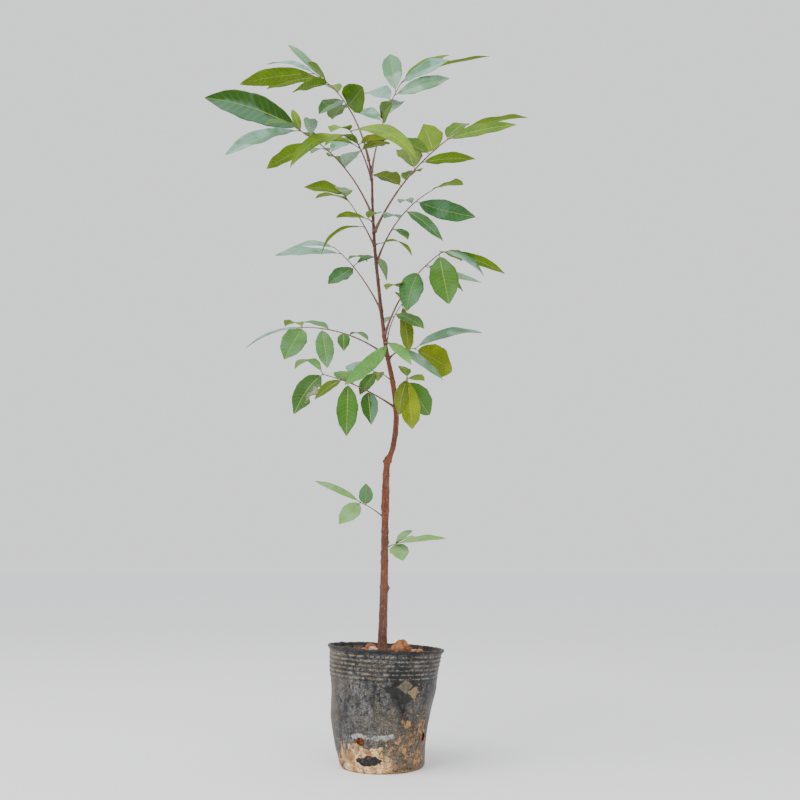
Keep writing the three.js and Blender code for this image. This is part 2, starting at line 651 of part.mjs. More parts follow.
function clodSolid(clod, soilBelow) {
  const lump = new THREE.IcosahedronGeometry(1, 1);
  lump.deleteAttribute('normal');
  lump.deleteAttribute('uv');
  const draw = seeded(clod.seed);
  const phases = [draw() * 6, draw() * 6, draw() * 6];
  const fall = SOIL_EDGE_DROP * Math.hypot(clod.right, clod.back) ** 2 / potRadius(SOIL_TOP) ** 2;
  const level = sagged(clod.right, clod.back, SOIL_TOP - fall).z;
  const bed = level + SOIL_ROUGHNESS * lumps(clod.right, clod.back);
  const spots = lump.attributes.position;
  for (let i = 0; i < spots.count; i += 1) {
    const [x, y, z] = [spots.getX(i), spots.getY(i), spots.getZ(i)];
    const round = Math.sin(4.1 * x + phases[0]) * Math.sin(3.7 * y + phases[1]);
    const bump = round + Math.sin(4.6 * z + phases[2]);
    const size = 1 + CLOD_ROUGHNESS * bump / 2;
    const up = bed + clod.tall * (0.5 - CLOD_SUNK_SHARE) + clod.tall / 2 * z * size;
    const reach = clod.across / 2 * size;
    spots.setXYZ(i, clod.right + reach * x, clod.back + reach * y, up);
  }
  return biggestPiece(solidOf(lump).subtract(soilBelow));
}

const tree = new THREE.Group();
const plastic = paint(0x2c2c2d, 0.6);
const earth = paint(0x9a6844, 0.95);
const bark = paint(0x7a4230, 0.8);

tree.add(named('pot', geometryOf(potSolid()), plastic));
tree.add(named('soil', geometryOf(soilSolid(0)), earth));
const soilRaised = soilSolid(CLEAR);
for (const clod of CLODS) tree.add(named(clod.name, geometryOf(clodSolid(clod, soilRaised)), earth));
tree.add(named('trunk', geometryOf(trunkSolid(0)), bark));
const trunkCleared = trunkSolid(CLEAR);
for (const spray of SPRAYS) {
  tree.add(named(spray.name, geometryOf(spraySolid(spray, trunkCleared)), paint(spray.colour, 0.5)));
}

export default tree;
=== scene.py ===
# A young longan tree in a soft black nursery pot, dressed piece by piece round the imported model.
# Sizes are in millimetres and are turned into metres where each mesh is finished.
import math
import random

import bmesh
import bpy
from mathutils import Matrix, Vector, noise


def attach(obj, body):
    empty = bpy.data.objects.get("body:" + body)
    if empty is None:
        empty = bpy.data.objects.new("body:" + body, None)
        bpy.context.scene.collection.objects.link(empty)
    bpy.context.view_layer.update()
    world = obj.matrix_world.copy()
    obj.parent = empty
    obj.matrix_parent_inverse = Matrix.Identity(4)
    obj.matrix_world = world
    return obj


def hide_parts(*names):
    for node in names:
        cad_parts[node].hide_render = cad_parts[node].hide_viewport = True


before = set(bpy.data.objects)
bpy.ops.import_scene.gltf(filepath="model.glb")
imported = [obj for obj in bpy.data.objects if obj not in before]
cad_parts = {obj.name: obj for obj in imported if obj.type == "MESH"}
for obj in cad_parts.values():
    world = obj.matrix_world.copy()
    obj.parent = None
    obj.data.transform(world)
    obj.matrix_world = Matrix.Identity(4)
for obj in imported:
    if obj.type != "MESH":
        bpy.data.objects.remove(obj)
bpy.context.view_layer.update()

# The pot: a thin flared shell of soft black plastic, turned as one profile with fine ridges under a
# rough lip. It has sagged a little to one side, creased, and been cut by hand into drain holes.
MM = 0.001
POT_HEIGHT = 157
POT_FOOT_RADIUS = 57.5
POT_RIM_RADIUS = 78.5
POT_CORNER = 5
POT_WALL = 1.3
POT_FLOOR = 2.5
POT_BELLY = 1.6
POT_TURNS = 168
POT_WALL_RINGS = 34
INNER_WALL_HEIGHTS = (154, 151, 148, 144, 140, 120, 100, 80, 60, 40, 20)
LIP_OUT = 2.6
LIP_HEIGHT = 4
RIM_SLOPE_RIGHT = -0.051
RIM_SLOPE_BACK = -0.02
RIM_SHIFT = 4.4
BELLY_SHIFT = -3.4
RIDGE_COUNT = 6
RIDGE_RINGS = 6
RIDGE_SPACING = 5.6
RIDGE_OUT = 0.8
RIDGE_BELOW_RIM = 11
DRAIN_COUNT = 4
DRAIN_HEIGHT = 41
DRAIN_RADIUS = 6.2
DRAIN_FIRST_HEADING = -116
# Each crease: its heading, the height of its middle, how tall it is and how deep.
CREASES = [(-124, 110, 16, 1), (-117, 100, 12, 0.6), (-60, 70, 16, 0.7), (20, 90, 14, 0.8),
           (110, 80, 15, 0.8), (160, 104, 10, 0.6)]
CREASE_WIDTH = 2.4
STIFF_FOOT = 14
# The lip: how far outside the rim and how far under its top each point of its profile lies.
LIP_PROFILE = [(0, 6), (0.2, LIP_HEIGHT + 1), (0.7 * LIP_OUT, LIP_HEIGHT), (LIP_OUT, 3), (LIP_OUT, 1.4),
               (LIP_OUT - 0.6, 0.5), (LIP_OUT - 1.4, 0), (0.2, 0.1), (-POT_WALL, 0.8)]


def sagged(x, y, z):
    """Where a point of the straight, upright pot lies on the real one."""
    share = z / POT_HEIGHT
    shift = RIM_SHIFT * share ** 3 + BELLY_SHIFT * math.sin(math.pi * min(share * 1.5, 1))
    slope = (RIM_SLOPE_RIGHT * x + RIM_SLOPE_BACK * y) * share ** 2
    return Vector((x + shift, y, z + slope))


def pot_radius(up):
    share = up / POT_HEIGHT
    belly = POT_BELLY * math.sin(math.pi * share)
    return POT_FOOT_RADIUS + (POT_RIM_RADIUS - POT_FOOT_RADIUS) * share + belly


def corner_profile(radius, floor, steps):
    turns = [math.pi / 2 * i / steps for i in range(steps + 1)]
    return [(radius - POT_CORNER * (1 - math.sin(t)), floor + POT_CORNER * (1 - math.cos(t))) for t in turns]


def turned(profile, steps):
    """A bmesh of a profile of (radius, up) points spun round the upright axis into a closed skin."""
    skin = bmesh.new()
    points = [skin.verts.new((radius, 0, up)) for radius, up in profile]
    edges = [skin.edges.new(pair) for pair in zip(points, points[1:])]
    bmesh.ops.spin(skin, geom=points + edges, axis=(0, 0, 1), cent=(0, 0, 0), steps=steps,
                   angle=2 * math.pi, use_merge=True)
    bmesh.ops.remove_doubles(skin, verts=skin.verts, dist=1e-4)
    return skin


def placed(name, data):
    """A new object that shows this mesh, lamp or camera in the scene."""
    thing = bpy.data.objects.new(name, data)
    bpy.context.scene.collection.objects.link(thing)
    return thing


def finished(skin, name, *materials):
    """Turns a bmesh in millimetres into an object in metres, at the origin, that rides on the plant."""
    bmesh.ops.scale(skin, vec=(MM, MM, MM), verts=skin.verts)
    bmesh.ops.recalc_face_normals(skin, faces=skin.faces)
    for face in skin.faces:
        face.smooth = True
    mesh = bpy.data.meshes.new(name)
    skin.to_mesh(mesh)
    skin.free()
    for material in materials:
        mesh.materials.append(material)
    piece = placed(name, mesh)
    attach(piece, "root")
    return piece


def rough(point, size, depth, seed=0):
    """A signed unevenness, `depth` mm at the most, with lumps about `size` mm across."""
    place = Vector(point) / size + Vector((seed * 7.3, seed * 3.1, seed * 5.7))
    return depth * noise.fractal(place, 0.9, 2.1, 3)


def bell(apart, width):
    """1 where `apart` is 0, falling away smoothly on both sides over `width`."""
    return math.exp(-(apart / width) ** 2)


def dented(x, y, z):
    """Where a point of the straight pot lies once the pot has sagged, dented and creased."""
    radius = math.hypot(x, y)
    if z < 1 or radius < 30:
        return sagged(x, y, z)
    heading = math.degrees(math.atan2(y, x))
    dent = rough((x, y, z), 55, 1.5, 1) + rough((x, y, z), 14, 0.3, 2)
    for at, up, tall, deep in CREASES:
        apart = math.radians((heading - at + 180) % 360 - 180) * radius + rough((0, 0, z), 12, 1.6, at)
        dent -= deep * bell(apart, CREASE_WIDTH) * bell(z - up, tall)
    return sagged(x, y, z) + Vector((x, y, 0)).normalized() * dent * min(1, z / STIFF_FOOT)


pot_profile = [(0, 0), (20, 0), (40, 0)] + corner_profile(pot_radius(POT_CORNER), 0, 6)
lowest_ridge = POT_HEIGHT - RIDGE_BELOW_RIM - RIDGE_SPACING * (RIDGE_COUNT - 1)
for ring in range(1, POT_WALL_RINGS):
    up = POT_CORNER + (lowest_ridge - 3 - POT_CORNER) * ring / POT_WALL_RINGS
    pot_profile.append((pot_radius(up), up))
for ring in range(RIDGE_COUNT * RIDGE_RINGS):
    up = lowest_ridge - RIDGE_SPACING / 2 + RIDGE_SPACING * ring / RIDGE_RINGS
    swell = 0.5 + 0.5 * math.cos(2 * math.pi * (ring / RIDGE_RINGS - 0.5))
    pot_profile.append((pot_radius(up) + RIDGE_OUT * swell ** 2, up))
pot_profile += [(pot_radius(POT_HEIGHT) + out, POT_HEIGHT - down) for out, down in LIP_PROFILE]
pot_profile += [(pot_radius(up) - POT_WALL, up) for up in INNER_WALL_HEIGHTS]
pot_profile += corner_profile(pot_radius(POT_CORNER) - POT_WALL, POT_FLOOR, 3)[::-1] + [(0, POT_FLOOR)]

pot_skin = turned(pot_profile, POT_TURNS)
for corner in pot_skin.verts:
    x, y, z = corner.co
    corner.co = dented(x, y, z)
    if z > POT_HEIGHT - 6:
        round_it = (x, y, 0)
        corner.co.z += rough(round_it, 9, 0.9, 3) + rough(round_it, 3, 0.9, 12)
        ragged = rough(round_it, 6, 0.7, 4) + rough(round_it, 2.2, 0.6, 13)
        corner.co += Vector(round_it).normalized() * ragged


def node(kind, inputs, tree=None, **settings):
    """Adds a shader node to the tree of what feeds it; an input is a number, a colour or a socket."""
    fed = [name for name, value in inputs.items() if isinstance(value, bpy.types.NodeSocket)]
    tree = tree or inputs[fed[0]].id_data
    made = tree.nodes.new("ShaderNode" + kind)
    for name, value in settings.items():
        setattr(made, name, value)
    for name, value in inputs.items():
        socket = made.inputs[name]
        if name in fed:
            tree.links.new(value, socket)
        else:
            socket.default_value = (*value, 1) if socket.type == "RGBA" else value
    return made


def finish_of(name, roughness, specular=0.5):
    """A new material, its shader with the constant values on its own sockets, and the place on the piece."""
    material = bpy.data.materials.new(name)
    material.use_nodes = True
    shader = material.node_tree.nodes["Principled BSDF"]
    shader.inputs["Roughness"].default_value = roughness
    shader.inputs["Specular IOR Level"].default_value = specular
    return material, shader, node("TexCoord", {}, material.node_tree).outputs["Object"]


def stretched(spot, scale, shift=(0, 0, 0)):
    return node("Mapping", {"Vector": spot, "Scale": scale, "Location": shift}).outputs[0]


def speckle(spot, scale, detail=4, roughness=0.6):
    inputs = {"Vector": spot, "Scale": scale, "Detail": detail, "Roughness": roughness}
    return node("TexNoise", inputs).outputs["Fac"]


def in_cells(spot, scale, feature="F1"):
    """How far each place is from the middle, or the edge, of the cell that it lies in."""
    return node("TexVoronoi", {"Vector": spot, "Scale": scale}, feature=feature).outputs["Distance"]


def stepped(value, low, high, start=0, end=1):
    """A value that goes smoothly from start to end while the input goes from low to high."""
    inputs = {"Value": value, "From Min": low, "From Max": high, "To Min": start, "To Max": end}
    return node("MapRange", inputs, interpolation_type="SMOOTHSTEP").outputs[0]


def worked(operation, first, second=0):
    return node("Math", {0: first, 1: second}, operation=operation).outputs[0]


def plus(first, second):
    return worked("ADD", first, second)


def minus(first, second):
    return worked("SUBTRACT", first, second)


def times(first, *others):
    for other in others:
        first = worked("MULTIPLY", first, other)
    return first


def larger(first, second):
    return worked("MAXIMUM", first, second)


def across_way(spot, way):
    """How far a place lies along a way, times the length of the way."""
    return node("VectorMath", {0: spot, 1: way}, operation="DOT_PRODUCT").outputs["Value"]


def mixed(share, first, second):
    """Blends two colours; each is a colour or another node's output."""
    return node("Mix", {0: share, 6: first, 7: second}, data_type="RGBA").outputs[2]


def shaded(shader, colour, bump=None, depth=0.0005, strength=0.5, roughness=None):
    """Wires a colour, and where given a bump height and a roughness, to the shader."""
    links = shader.id_data.links
    links.new(colour, shader.inputs["Base Color"])
    if bump is not None:
        relief = node("Bump", {"Height": bump, "Distance": depth, "Strength": strength})
        links.new(relief.outputs[0], shader.inputs["Normal"])
    if roughness is not None:
        links.new(roughness, shader.inputs["Roughness"])


def patch(spot, centre, size, ragged=0.35, grain=90, cornered=False):
    """1 inside a ragged oval, or a four-cornered scrap, `size` across each way in mm, and 0 outside."""
    scale = [2 / (wide * MM) for wide in size]
    shift = [-2 * middle / wide for middle, wide in zip(centre, size)]
    place = stretched(spot, scale, shift)
    reach = node("VectorMath", {0: place}, operation="LENGTH").outputs["Value"]
    if cornered:
        reach = across_way(node("VectorMath", {0: place}, operation="ABSOLUTE").outputs[0], (0.8, 0.1, 0.8))
    tear = times(minus(speckle(spot, grain), 0.5), ragged * 4)
    return stepped(plus(reach, tear), 0.85, 1.1, 1, 0)


def cut_away(piece, cutter):
    """Cuts the cutter out of the piece for good, and deletes the cutter."""
    cut = piece.modifiers.new("cut", "BOOLEAN")
    cut.operation = "DIFFERENCE"
    cut.solver = "EXACT"
    cut.object = cutter
    bpy.context.view_layer.update()
    whole = piece.evaluated_get(bpy.context.evaluated_depsgraph_get())
    mesh = bpy.data.meshes.new_from_object(whole)
    piece.modifiers.clear()
    piece.data = mesh
    bpy.data.objects.remove(cutter)


# The wall is black plastic, dulled by a streaky grey film and tan dust, and pitted. A clean dark
# patch lies round the two scraps of tape, and the oval above the foot was never reached by mud.
NEW_BLACK = (0.006, 0.0062, 0.007)
WORN_BLACK = (0.026, 0.026, 0.026)
FILM_GREY = (0.215, 0.212, 0.204)
DUST_TAN = (0.42, 0.32, 0.2)
HAZE_BROWN = (0.15, 0.12, 0.085)
PIT_BLACK = (0.006, 0.006, 0.0065)
plastic, plastic_shader, spot = finish_of("pot_plastic", 0.5, 0.2)
right_of_middle, _, height = node("SeparateXYZ", {"Vector": spot}).outputs
grain = speckle(spot, 560, 3, 0.75)
grit = speckle(spot, 230, 6, 0.75)
cloud = speckle(spot, 24, 5, 0.62)
streaks = speckle(stretched(spot, (1, 1, 0.5)), 70, 6, 0.72)
clean = patch(spot, (32, -66, 112), (50, 60, 44), 0.6, 70)
oval = patch(spot, (-17, -58, 17), (33, 60, 13), 0.4, 150)
dusty = stepped(larger(clean, oval), 0, 1, 1, 0.2)
to_the_right = stepped(right_of_middle, -0.02, 0.03, 1, 0.55)
film = times(stepped(streaks, 0.32, 0.64), stepped(grit, 0.33, 0.64), dusty, to_the_right)
colour = mixed(stepped(cloud, 0.35, 0.68), NEW_BLACK, WORN_BLACK)
colour = mixed(times(film, 0.9), colour, FILM_GREY)
tan_dust = times(stepped(grain, 0.54, 0.68), stepped(cloud, 0.42, 0.6), dusty)
colour = mixed(times(tan_dust, 0.85), colour, DUST_TAN)
colour = mixed(times(stepped(cloud, 0.4, 0.64, 0, 0.32), dusty), colour, HAZE_BROWN)
colour = mixed(stepped(speckle(spot, 820, 2, 0.7), 0.48, 0.38, 0, 0.9), colour, PIT_BLACK)

# The ridges run level with the sagged rim: their grooves hold tan dust and their crests rub black.
RIDGE_LEVEL = (0.036, 0.014, 1)
RIDGES_TOP = 149.5
LIP_FOOT = 151.5
GROOVE_TAN = (0.38, 0.285, 0.16)
GROOVE_GREY = (0.25, 0.235, 0.205)
CREST_BLACK = (0.01, 0.01, 0.011)
level = across_way(spot, RIDGE_LEVEL)
groove = worked("PINGPONG", worked("DIVIDE", minus(level, lowest_ridge * MM), RIDGE_SPACING * MM), 0.5)
banded = times(stepped(level, (lowest_ridge - 2) * MM, (lowest_ridge + 1) * MM),
               stepped(level, RIDGES_TOP * MM, LIP_FOOT * MM, 1, 0))
held = times(stepped(groove, 0.26, 0.44), banded, stepped(grit, 0.44, 0.66))
dust = mixed(stepped(right_of_middle, -0.03, 0.02), GROOVE_TAN, GROOVE_GREY)
colour = mixed(times(held, 0.9), colour, dust)
crest = times(stepped(groove, 0.02, 0.16, 1, 0), banded)
crest = larger(crest, stepped(level, LIP_FOOT * MM, (LIP_FOOT + 2) * MM))
colour = mixed(times(crest, 0.7), colour, CREST_BLACK)

# Two bare scraps of old tape, each with its place, size, raggedness, grain and two colours.
SCRAPS = [((31, -60, 112), (17, 60, 15.5), 0.25, 160, (0.095, 0.083, 0.056), (0.175, 0.15, 0.1)),
          ((42.5, -56, 103), (14, 60, 15), 0.5, 130, (0.16, 0.125, 0.065), (0.3, 0.215, 0.105))]
for centre, size, ragged, tear, darker, lighter in SCRAPS:
    scrap = patch(spot, centre, size, ragged, tear, True)
    colour = mixed(times(scrap, 0.8), colour, mixed(stepped(grit, 0.4, 0.6), darker, lighter))

# A pale streak above the drain hole is a painted highlight, where light catches a crease in the
# plastic. Mud cakes the foot, dries pale, cracks, and lies in brown blots and thrown flecks on the right.
HIGHLIGHT_GREY = (0.46, 0.46, 0.44)
STAIN_BROWN = (0.17, 0.105, 0.058)
MUD_PALE = (0.92, 0.63, 0.32)
MUD_BROWN = (0.4, 0.215, 0.088)
MUD_GRAIN = (0.1, 0.06, 0.035)
MUD_CRACK = (0.2, 0.105, 0.05)
FLECK_ORANGE = (0.42, 0.2, 0.09)
# Painted highlight: the pale streak above the drain hole, light caught on a crease in the plastic.
painted_highlight = larger(patch(spot, (-30, -60, 47), (22, 60, 8), 0.9, 160),
               patch(spot, (0, -60, 47), (40, 60, 6), 1, 130))
colour = mixed(times(painted_highlight, stepped(grit, 0.36, 0.62, 0.15, 0.9)), colour, HIGHLIGHT_GREY)
low = plus(plus(height, times(cloud, 0.02)), stepped(right_of_middle, 0, 0.03, 0, 0.022))
low = stepped(low, 0.016, 0.056, 1, 0)
splash = stepped(plus(speckle(spot, 62, 7, 0.72), times(low, 0.16)), 0.54, 0.64)
cake = patch(spot, (-24, -52, 20), (72, 60, 32), 0.6, 95)
mud = larger(times(low, splash), times(cake, 0.95))
bank = patch(spot, (44, -42, 36), (56, 60, 66), 1.1, 70)
blots = plus(speckle(spot, 120, 6, 0.7), times(grit, 0.35))
mud = larger(mud, times(bank, stepped(blots, 0.66, 0.75)))
mud = times(mud, stepped(oval, 0, 1, 1, 0))
stain = times(patch(spot, (42, -46, 30), (74, 60, 66), 1.3, 60), stepped(grit, 0.4, 0.62, 0, 0.6))
colour = mixed(stain, colour, STAIN_BROWN)
browner = plus(speckle(spot, 75, 5), stepped(right_of_middle, 0, 0.03, 0, 0.2))
mud_colour = mixed(stepped(browner, 0.42, 0.62), MUD_PALE, MUD_BROWN)
mud_colour = mixed(stepped(speckle(spot, 160, 7, 0.75), 0.55, 0.66, 0, 0.85), mud_colour, MUD_GRAIN)
swirl = node("TexNoise", {"Vector": spot, "Scale": 90}).outputs["Color"]
creep = node("VectorMath", {0: spot, 1: swirl, 2: (0.012, 0.012, 0.012)}, operation="MULTIPLY_ADD").outputs[0]
creep = node("VectorMath", {0: spot, 1: creep}, operation="ADD").outputs[0]
crack = stepped(in_cells(creep, 75, "DISTANCE_TO_EDGE"), 0.02, 0.06, 0.9, 0)
mud_colour = mixed(crack, mud_colour, MUD_CRACK)
colour = mixed(mud, colour, mud_colour)
thrown = plus(speckle(spot, 42, 4), stepped(right_of_middle, 0.02, 0.06, 0, 0.09))
specks = stepped(plus(in_cells(spot, 260), times(grain, 0.3)), 0.3, 0.42, 1, 0)
flecks = times(specks, stepped(thrown, 0.57, 0.64))
colour = mixed(times(flecks, 0.85), colour, FLECK_ORANGE)
relief = plus(times(grit, 0.5), plus(mud, flecks))
dull = node("MapRange", {"Value": plus(mud, film), "To Min": 0.4, "To Max": 0.88}).outputs[0]
shaded(plastic_shader, colour, relief, 0.0007, 0.65, dull)

pot = finished(pot_skin, "nursery_pot", plastic)
for hole in range(DRAIN_COUNT):
    heading = math.radians(DRAIN_FIRST_HEADING + 360 * hole / DRAIN_COUNT)
    ring = bmesh.new()
    bmesh.ops.create_cone(ring, segments=26, depth=30, cap_ends=True,
                          radius1=DRAIN_RADIUS, radius2=DRAIN_RADIUS)
    bmesh.ops.rotate(ring, verts=ring.verts, matrix=Matrix.Rotation(math.pi / 2, 3, "Y"))
    for corner in ring.verts:
        corner.co.z *= 0.85
        corner.co += rough(corner.co + Vector((hole * 40, 0, 0)), 6, 0.8, 5) * Vector((0, 1, 1))
    bmesh.ops.translate(ring, verts=ring.verts, vec=(pot_radius(DRAIN_HEIGHT), 0, DRAIN_HEIGHT))
    bmesh.ops.rotate(ring, verts=ring.verts, matrix=Matrix.Rotation(heading, 3, "Z"))
    cut_away(pot, finished(ring, "drain_cutter"))
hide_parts("pot")

# The soil: red-brown clay loam, filled to just under the rim, cracked and crumbly on top, with loose
# crumbs and a few pale bits of husk and grit lying on it. It touches the pot's wall all round.
SOIL_TOP = 149.7
SOIL_FLOOR = POT_FLOOR + 0.3
SOIL_EDGE_DROP = 3
SOIL_ROUGHNESS = 2.4
SOIL_SEAT_RADIUS = 14
SOIL_SEAT_RISE = 0.6
SOIL_INSET = 2.2
SOIL_TURNS = 150
SOIL_RINGS = 46
SOIL_CELL = 9
TRUNK_FOOT = (-1, 0)
CRUMBS = 460
CRUMB_SMALLEST = 0.9
CRUMB_SPREAD = 2.9
# Each pale bit: how far right and back of the middle it lies, and how far across it is.
PALE_BITS = [(-17, -10, 15), (40, -12, 12), (-37, 6, 9), (-27, 14, 8), (-18, 2, 6.5), (-31, 24, 6),
             (-11, 20, 7), (9, 10, 6.5), (16, 20, 6), (41, -2, 9), (50, 8, 8.5), (60, 2, 7), (36, 18, 6),
             (66, -14, 6), (-48, -14, 6), (-20, -50, 5), (7, -56, 6), (46, -44, 5), (-8, 58, 5.2),
             (24, 44, 5), (-52, 22, 4.5)]
SOIL_DARK = (0.12, 0.04, 0.018)
SOIL_LIGHT = (0.33, 0.125, 0.055)
SOIL_PALE_GRAIN = (0.52, 0.29, 0.17)
SOIL_PIT = (0.05, 0.021, 0.01)
# Painted shade: the near black in the soil seen through the drain holes.
DEEP_SOIL_SHADE = (0.05, 0.012, 0.006)
DEEP_SOIL_LIGHT = (0.36, 0.085, 0.03)
HUSK_BROWN = (0.44, 0.2, 0.11)
HUSK_PALE = (0.58, 0.41, 0.28)


def lumps(x, y):
    return math.sin(0.23 * x + 1.3) * math.cos(0.19 * y - 0.4) + 0.6 * math.sin(0.11 * x - 0.31 * y)


def soil_place(x, y, finely=True):
    """A point on the soil's top: lumps as in the model, then clods, cracks and crumbs of its own."""
    share = min(math.hypot(x, y) / pot_radius(SOIL_TOP), 1)
    place = sagged(x, y, SOIL_TOP - SOIL_EDGE_DROP * share ** 2)
    beside = dented(x, y, SOIL_TOP - SOIL_EDGE_DROP) - sagged(x, y, SOIL_TOP - SOIL_EDGE_DROP)
    place += beside * share ** 6
    clear_of_wall = min(max((1 - share) * 12, 0), 1)
    place.z += SOIL_ROUGHNESS * lumps(x, y) * clear_of_wall
    if finely:
        wander = Vector((rough((x, y, 1), 5, 0.25, 7),) * 3)
        near, next_near = noise.voronoi(Vector((x, y, 3)) / SOIL_CELL + wander)[0][:2]
        place.z += 1.5 * (0.45 - near) + 1.3 * min(next_near - near, 0.25) - 0.4
        place.z += rough((x, y, 0), 5, 0.9, 8) + rough((x, y, 0), 1.8, 0.35, 9)
    seat = math.hypot(x - TRUNK_FOOT[0], y - TRUNK_FOOT[1]) / SOIL_SEAT_RADIUS
    if seat < 1:
        seat_height = SOIL_TOP + SOIL_SEAT_RISE + rough((x, y, 0), 3, 0.5, 8)
        place.z = place.z * seat + seat_height * (1 - seat)
    return place


soil_edge = SOIL_TOP - SOIL_EDGE_DROP
soil_profile = [(0, SOIL_FLOOR), (30, SOIL_FLOOR)]
soil_profile += corner_profile(pot_radius(POT_CORNER) - SOIL_INSET, SOIL_FLOOR, 3)
soil_profile += [(pot_radius(up) - SOIL_INSET, up) for up in range(12, 144, 6)]
soil_wall = pot_radius(soil_edge) - POT_WALL + 0.1
soil_profile += [(soil_wall * ring / SOIL_RINGS, soil_edge + 0.01) for ring in range(SOIL_RINGS, -1, -1)]
soil_skin = turned(soil_profile, SOIL_TURNS)
for corner in soil_skin.verts:
    x, y, z = corner.co
    if z > soil_edge:
        corner.co = soil_place(x, y)
    else:
        wall = Vector((x, y, 0)).normalized() * (rough((x, y, z), 9, 1.4, 6) - 0.6) * min(z / 20, 1)
        corner.co = dented(x, y, z) + wall

earth, earth_shader, spot = finish_of("red_soil", 0.95, 0.2)
grain = speckle(spot, 340, 8, 0.72)
colour = mixed(stepped(speckle(spot, 48, 6, 0.62), 0.36, 0.66), SOIL_DARK, SOIL_LIGHT)
colour = mixed(stepped(grain, 0.56, 0.74), colour, SOIL_PALE_GRAIN)
colour = mixed(stepped(grain, 0.42, 0.28), colour, SOIL_PIT)
# Below 12 cm the soil shows only through the drain holes. There it is painted deep red mottled with near
# black: the red is the soil, and the near black is painted shade inside the holes.
deep_soil = mixed(stepped(grain, 0.42, 0.6), DEEP_SOIL_SHADE, DEEP_SOIL_LIGHT)
height = node("SeparateXYZ", {"Vector": spot}).outputs["Z"]
colour = mixed(stepped(height, 0.12, 0.135, 0.85, 0), colour, deep_soil)
shaded(earth_shader, colour, plus(grain, times(in_cells(spot, 300), 0.7)), 0.0012, 0.75)
soil = finished(soil_skin, "soil_bed", earth)
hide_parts("soil")


def add_lump(skin, bed, rounds, turn, shape, ragged):
    """Adds one small lump, `shape` mm across each way, with (size, depth, seed) of its raggedness."""
    place = Matrix.Translation(bed) @ Matrix.Rotation(turn, 4, "Z") @ Matrix.Diagonal((*shape, 1))
    lump = bmesh.ops.create_icosphere(skin, subdivisions=rounds, radius=0.5, matrix=place)
    for corner in lump["verts"]:
        corner.co += (corner.co - bed) * rough(corner.co, *ragged)
    return lump["verts"]


crumb_skin = bmesh.new()
chance = random.Random(41)
for _ in range(CRUMBS):
    reach = (pot_radius(SOIL_TOP) - 4) * math.sqrt(chance.uniform(0.03, 1))
    heading = chance.uniform(0, 2 * math.pi)
    across = CRUMB_SMALLEST + CRUMB_SPREAD * chance.random() ** 2.4
    bed = soil_place(reach * math.cos(heading), reach * math.sin(heading))
    shape = (across, across * 0.8, across * 0.65)
    for corner in add_lump(crumb_skin, bed, 2, chance.uniform(0, 6), shape, (0.8, 0.3, 2)):
        corner.co.z += across * 0.18
crumbs = finished(crumb_skin, "soil_crumbs", earth)

husk, husk_shader, spot = finish_of("pale_husk", 0.9, 0.2)
colour = mixed(stepped(speckle(spot, 60, 2), 0.42, 0.58), HUSK_BROWN, HUSK_PALE)
shaded(husk_shader, colour, speckle(spot, 700, 4), 0.0004, 0.6)
bit_skin = bmesh.new()
for right, back, across in PALE_BITS:
    bed = soil_place(right, back) + Vector((0, 0, across * 0.12))
    add_lump(bit_skin, bed, 3, right, (across * 1.15, across * 0.8, across * 0.5), (2.4, 0.6, 3))
husks = finished(bit_skin, "pale_bits", husk)

# The clods: four hard, broken lumps of the same soil that lie on its top and stand above the rim,
# the largest at the front right, where it rises to a low peak. Each keeps the model's lumpy form
# under a finer, crumbling skin.
CLOD_SUNK_SHARE = 0.2
CLOD_ROUGHNESS = 0.16
# Each clod: its name, how far right and back it lies, how far across and how tall it is, its seed and peak.
CLODS = [("clod_large", 26, -40, 26, 25, 11, 2.5), ("clod_left", -30, -44, 15, 11, 12, 0),
         ("clod_right", 50, -26, 15, 10, 13, 0), ("clod_back", -18, 42, 19, 12, 14, 0)]
CLOD_DARK = (0.15, 0.05, 0.02)
CLOD_LIGHT = (0.36, 0.148, 0.064)
CLOD_PALE_GRAIN = (0.58, 0.34, 0.19)
CLOD_PIT = (0.055, 0.022, 0.012)


def seeded(seed):
    """The same run of numbers from 0 to 1 for the same seed, as in the model's own rule."""
    largest = 2147483647
    state = seed * 7919

    def draw():
        nonlocal state
        state = (state * 48271) % largest
        return state / largest
    return draw


dry_clod, clod_shader, spot = finish_of("dry_clod", 0.95, 0.2)
grain = speckle(spot, 300, 8, 0.72)
colour = mixed(stepped(speckle(spot, 85, 5, 0.62), 0.36, 0.62), CLOD_DARK, CLOD_LIGHT)
colour = mixed(stepped(grain, 0.54, 0.72, 0, 0.7), colour, CLOD_PALE_GRAIN)
colour = mixed(stepped(grain, 0.44, 0.3), colour, CLOD_PIT)
shaded(clod_shader, colour, grain, 0.0014, 0.8)

for name, right, back, across, tall, seed, peak in CLODS:
    draw = seeded(seed)
    phases = [draw() * 6, draw() * 6, draw() * 6]
    middle = soil_place(right, back, finely=False).z + tall * (0.5 - CLOD_SUNK_SHARE)
    skin = bmesh.new()
    bmesh.ops.create_icosphere(skin, subdivisions=6, radius=1)
    for corner in skin.verts:
        x, y, z = corner.co
        bump = math.sin(4.1 * x + phases[0]) * math.sin(3.7 * y + phases[1]) + math.sin(4.6 * z + phases[2])
        size = 1 + CLOD_ROUGHNESS * bump / 2
        near, next_near = noise.voronoi(Vector((x, y, z)) * 1.6 + Vector((seed, 0, 0)))[0][:2]
        size += 0.1 * (next_near - near) - 0.05 + rough((x, y, z), 0.5, 0.07, seed)
        size += rough((x, y, z), 0.16, 0.03, seed)
        up = middle + tall / 2 * z * size + peak * max(z, 0) ** 2
        corner.co = Vector((right + across / 2 * x * size, back + across / 2 * y * size, up))
    clod = finished(skin, name + "_crumbling", dry_clod)
    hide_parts(name)

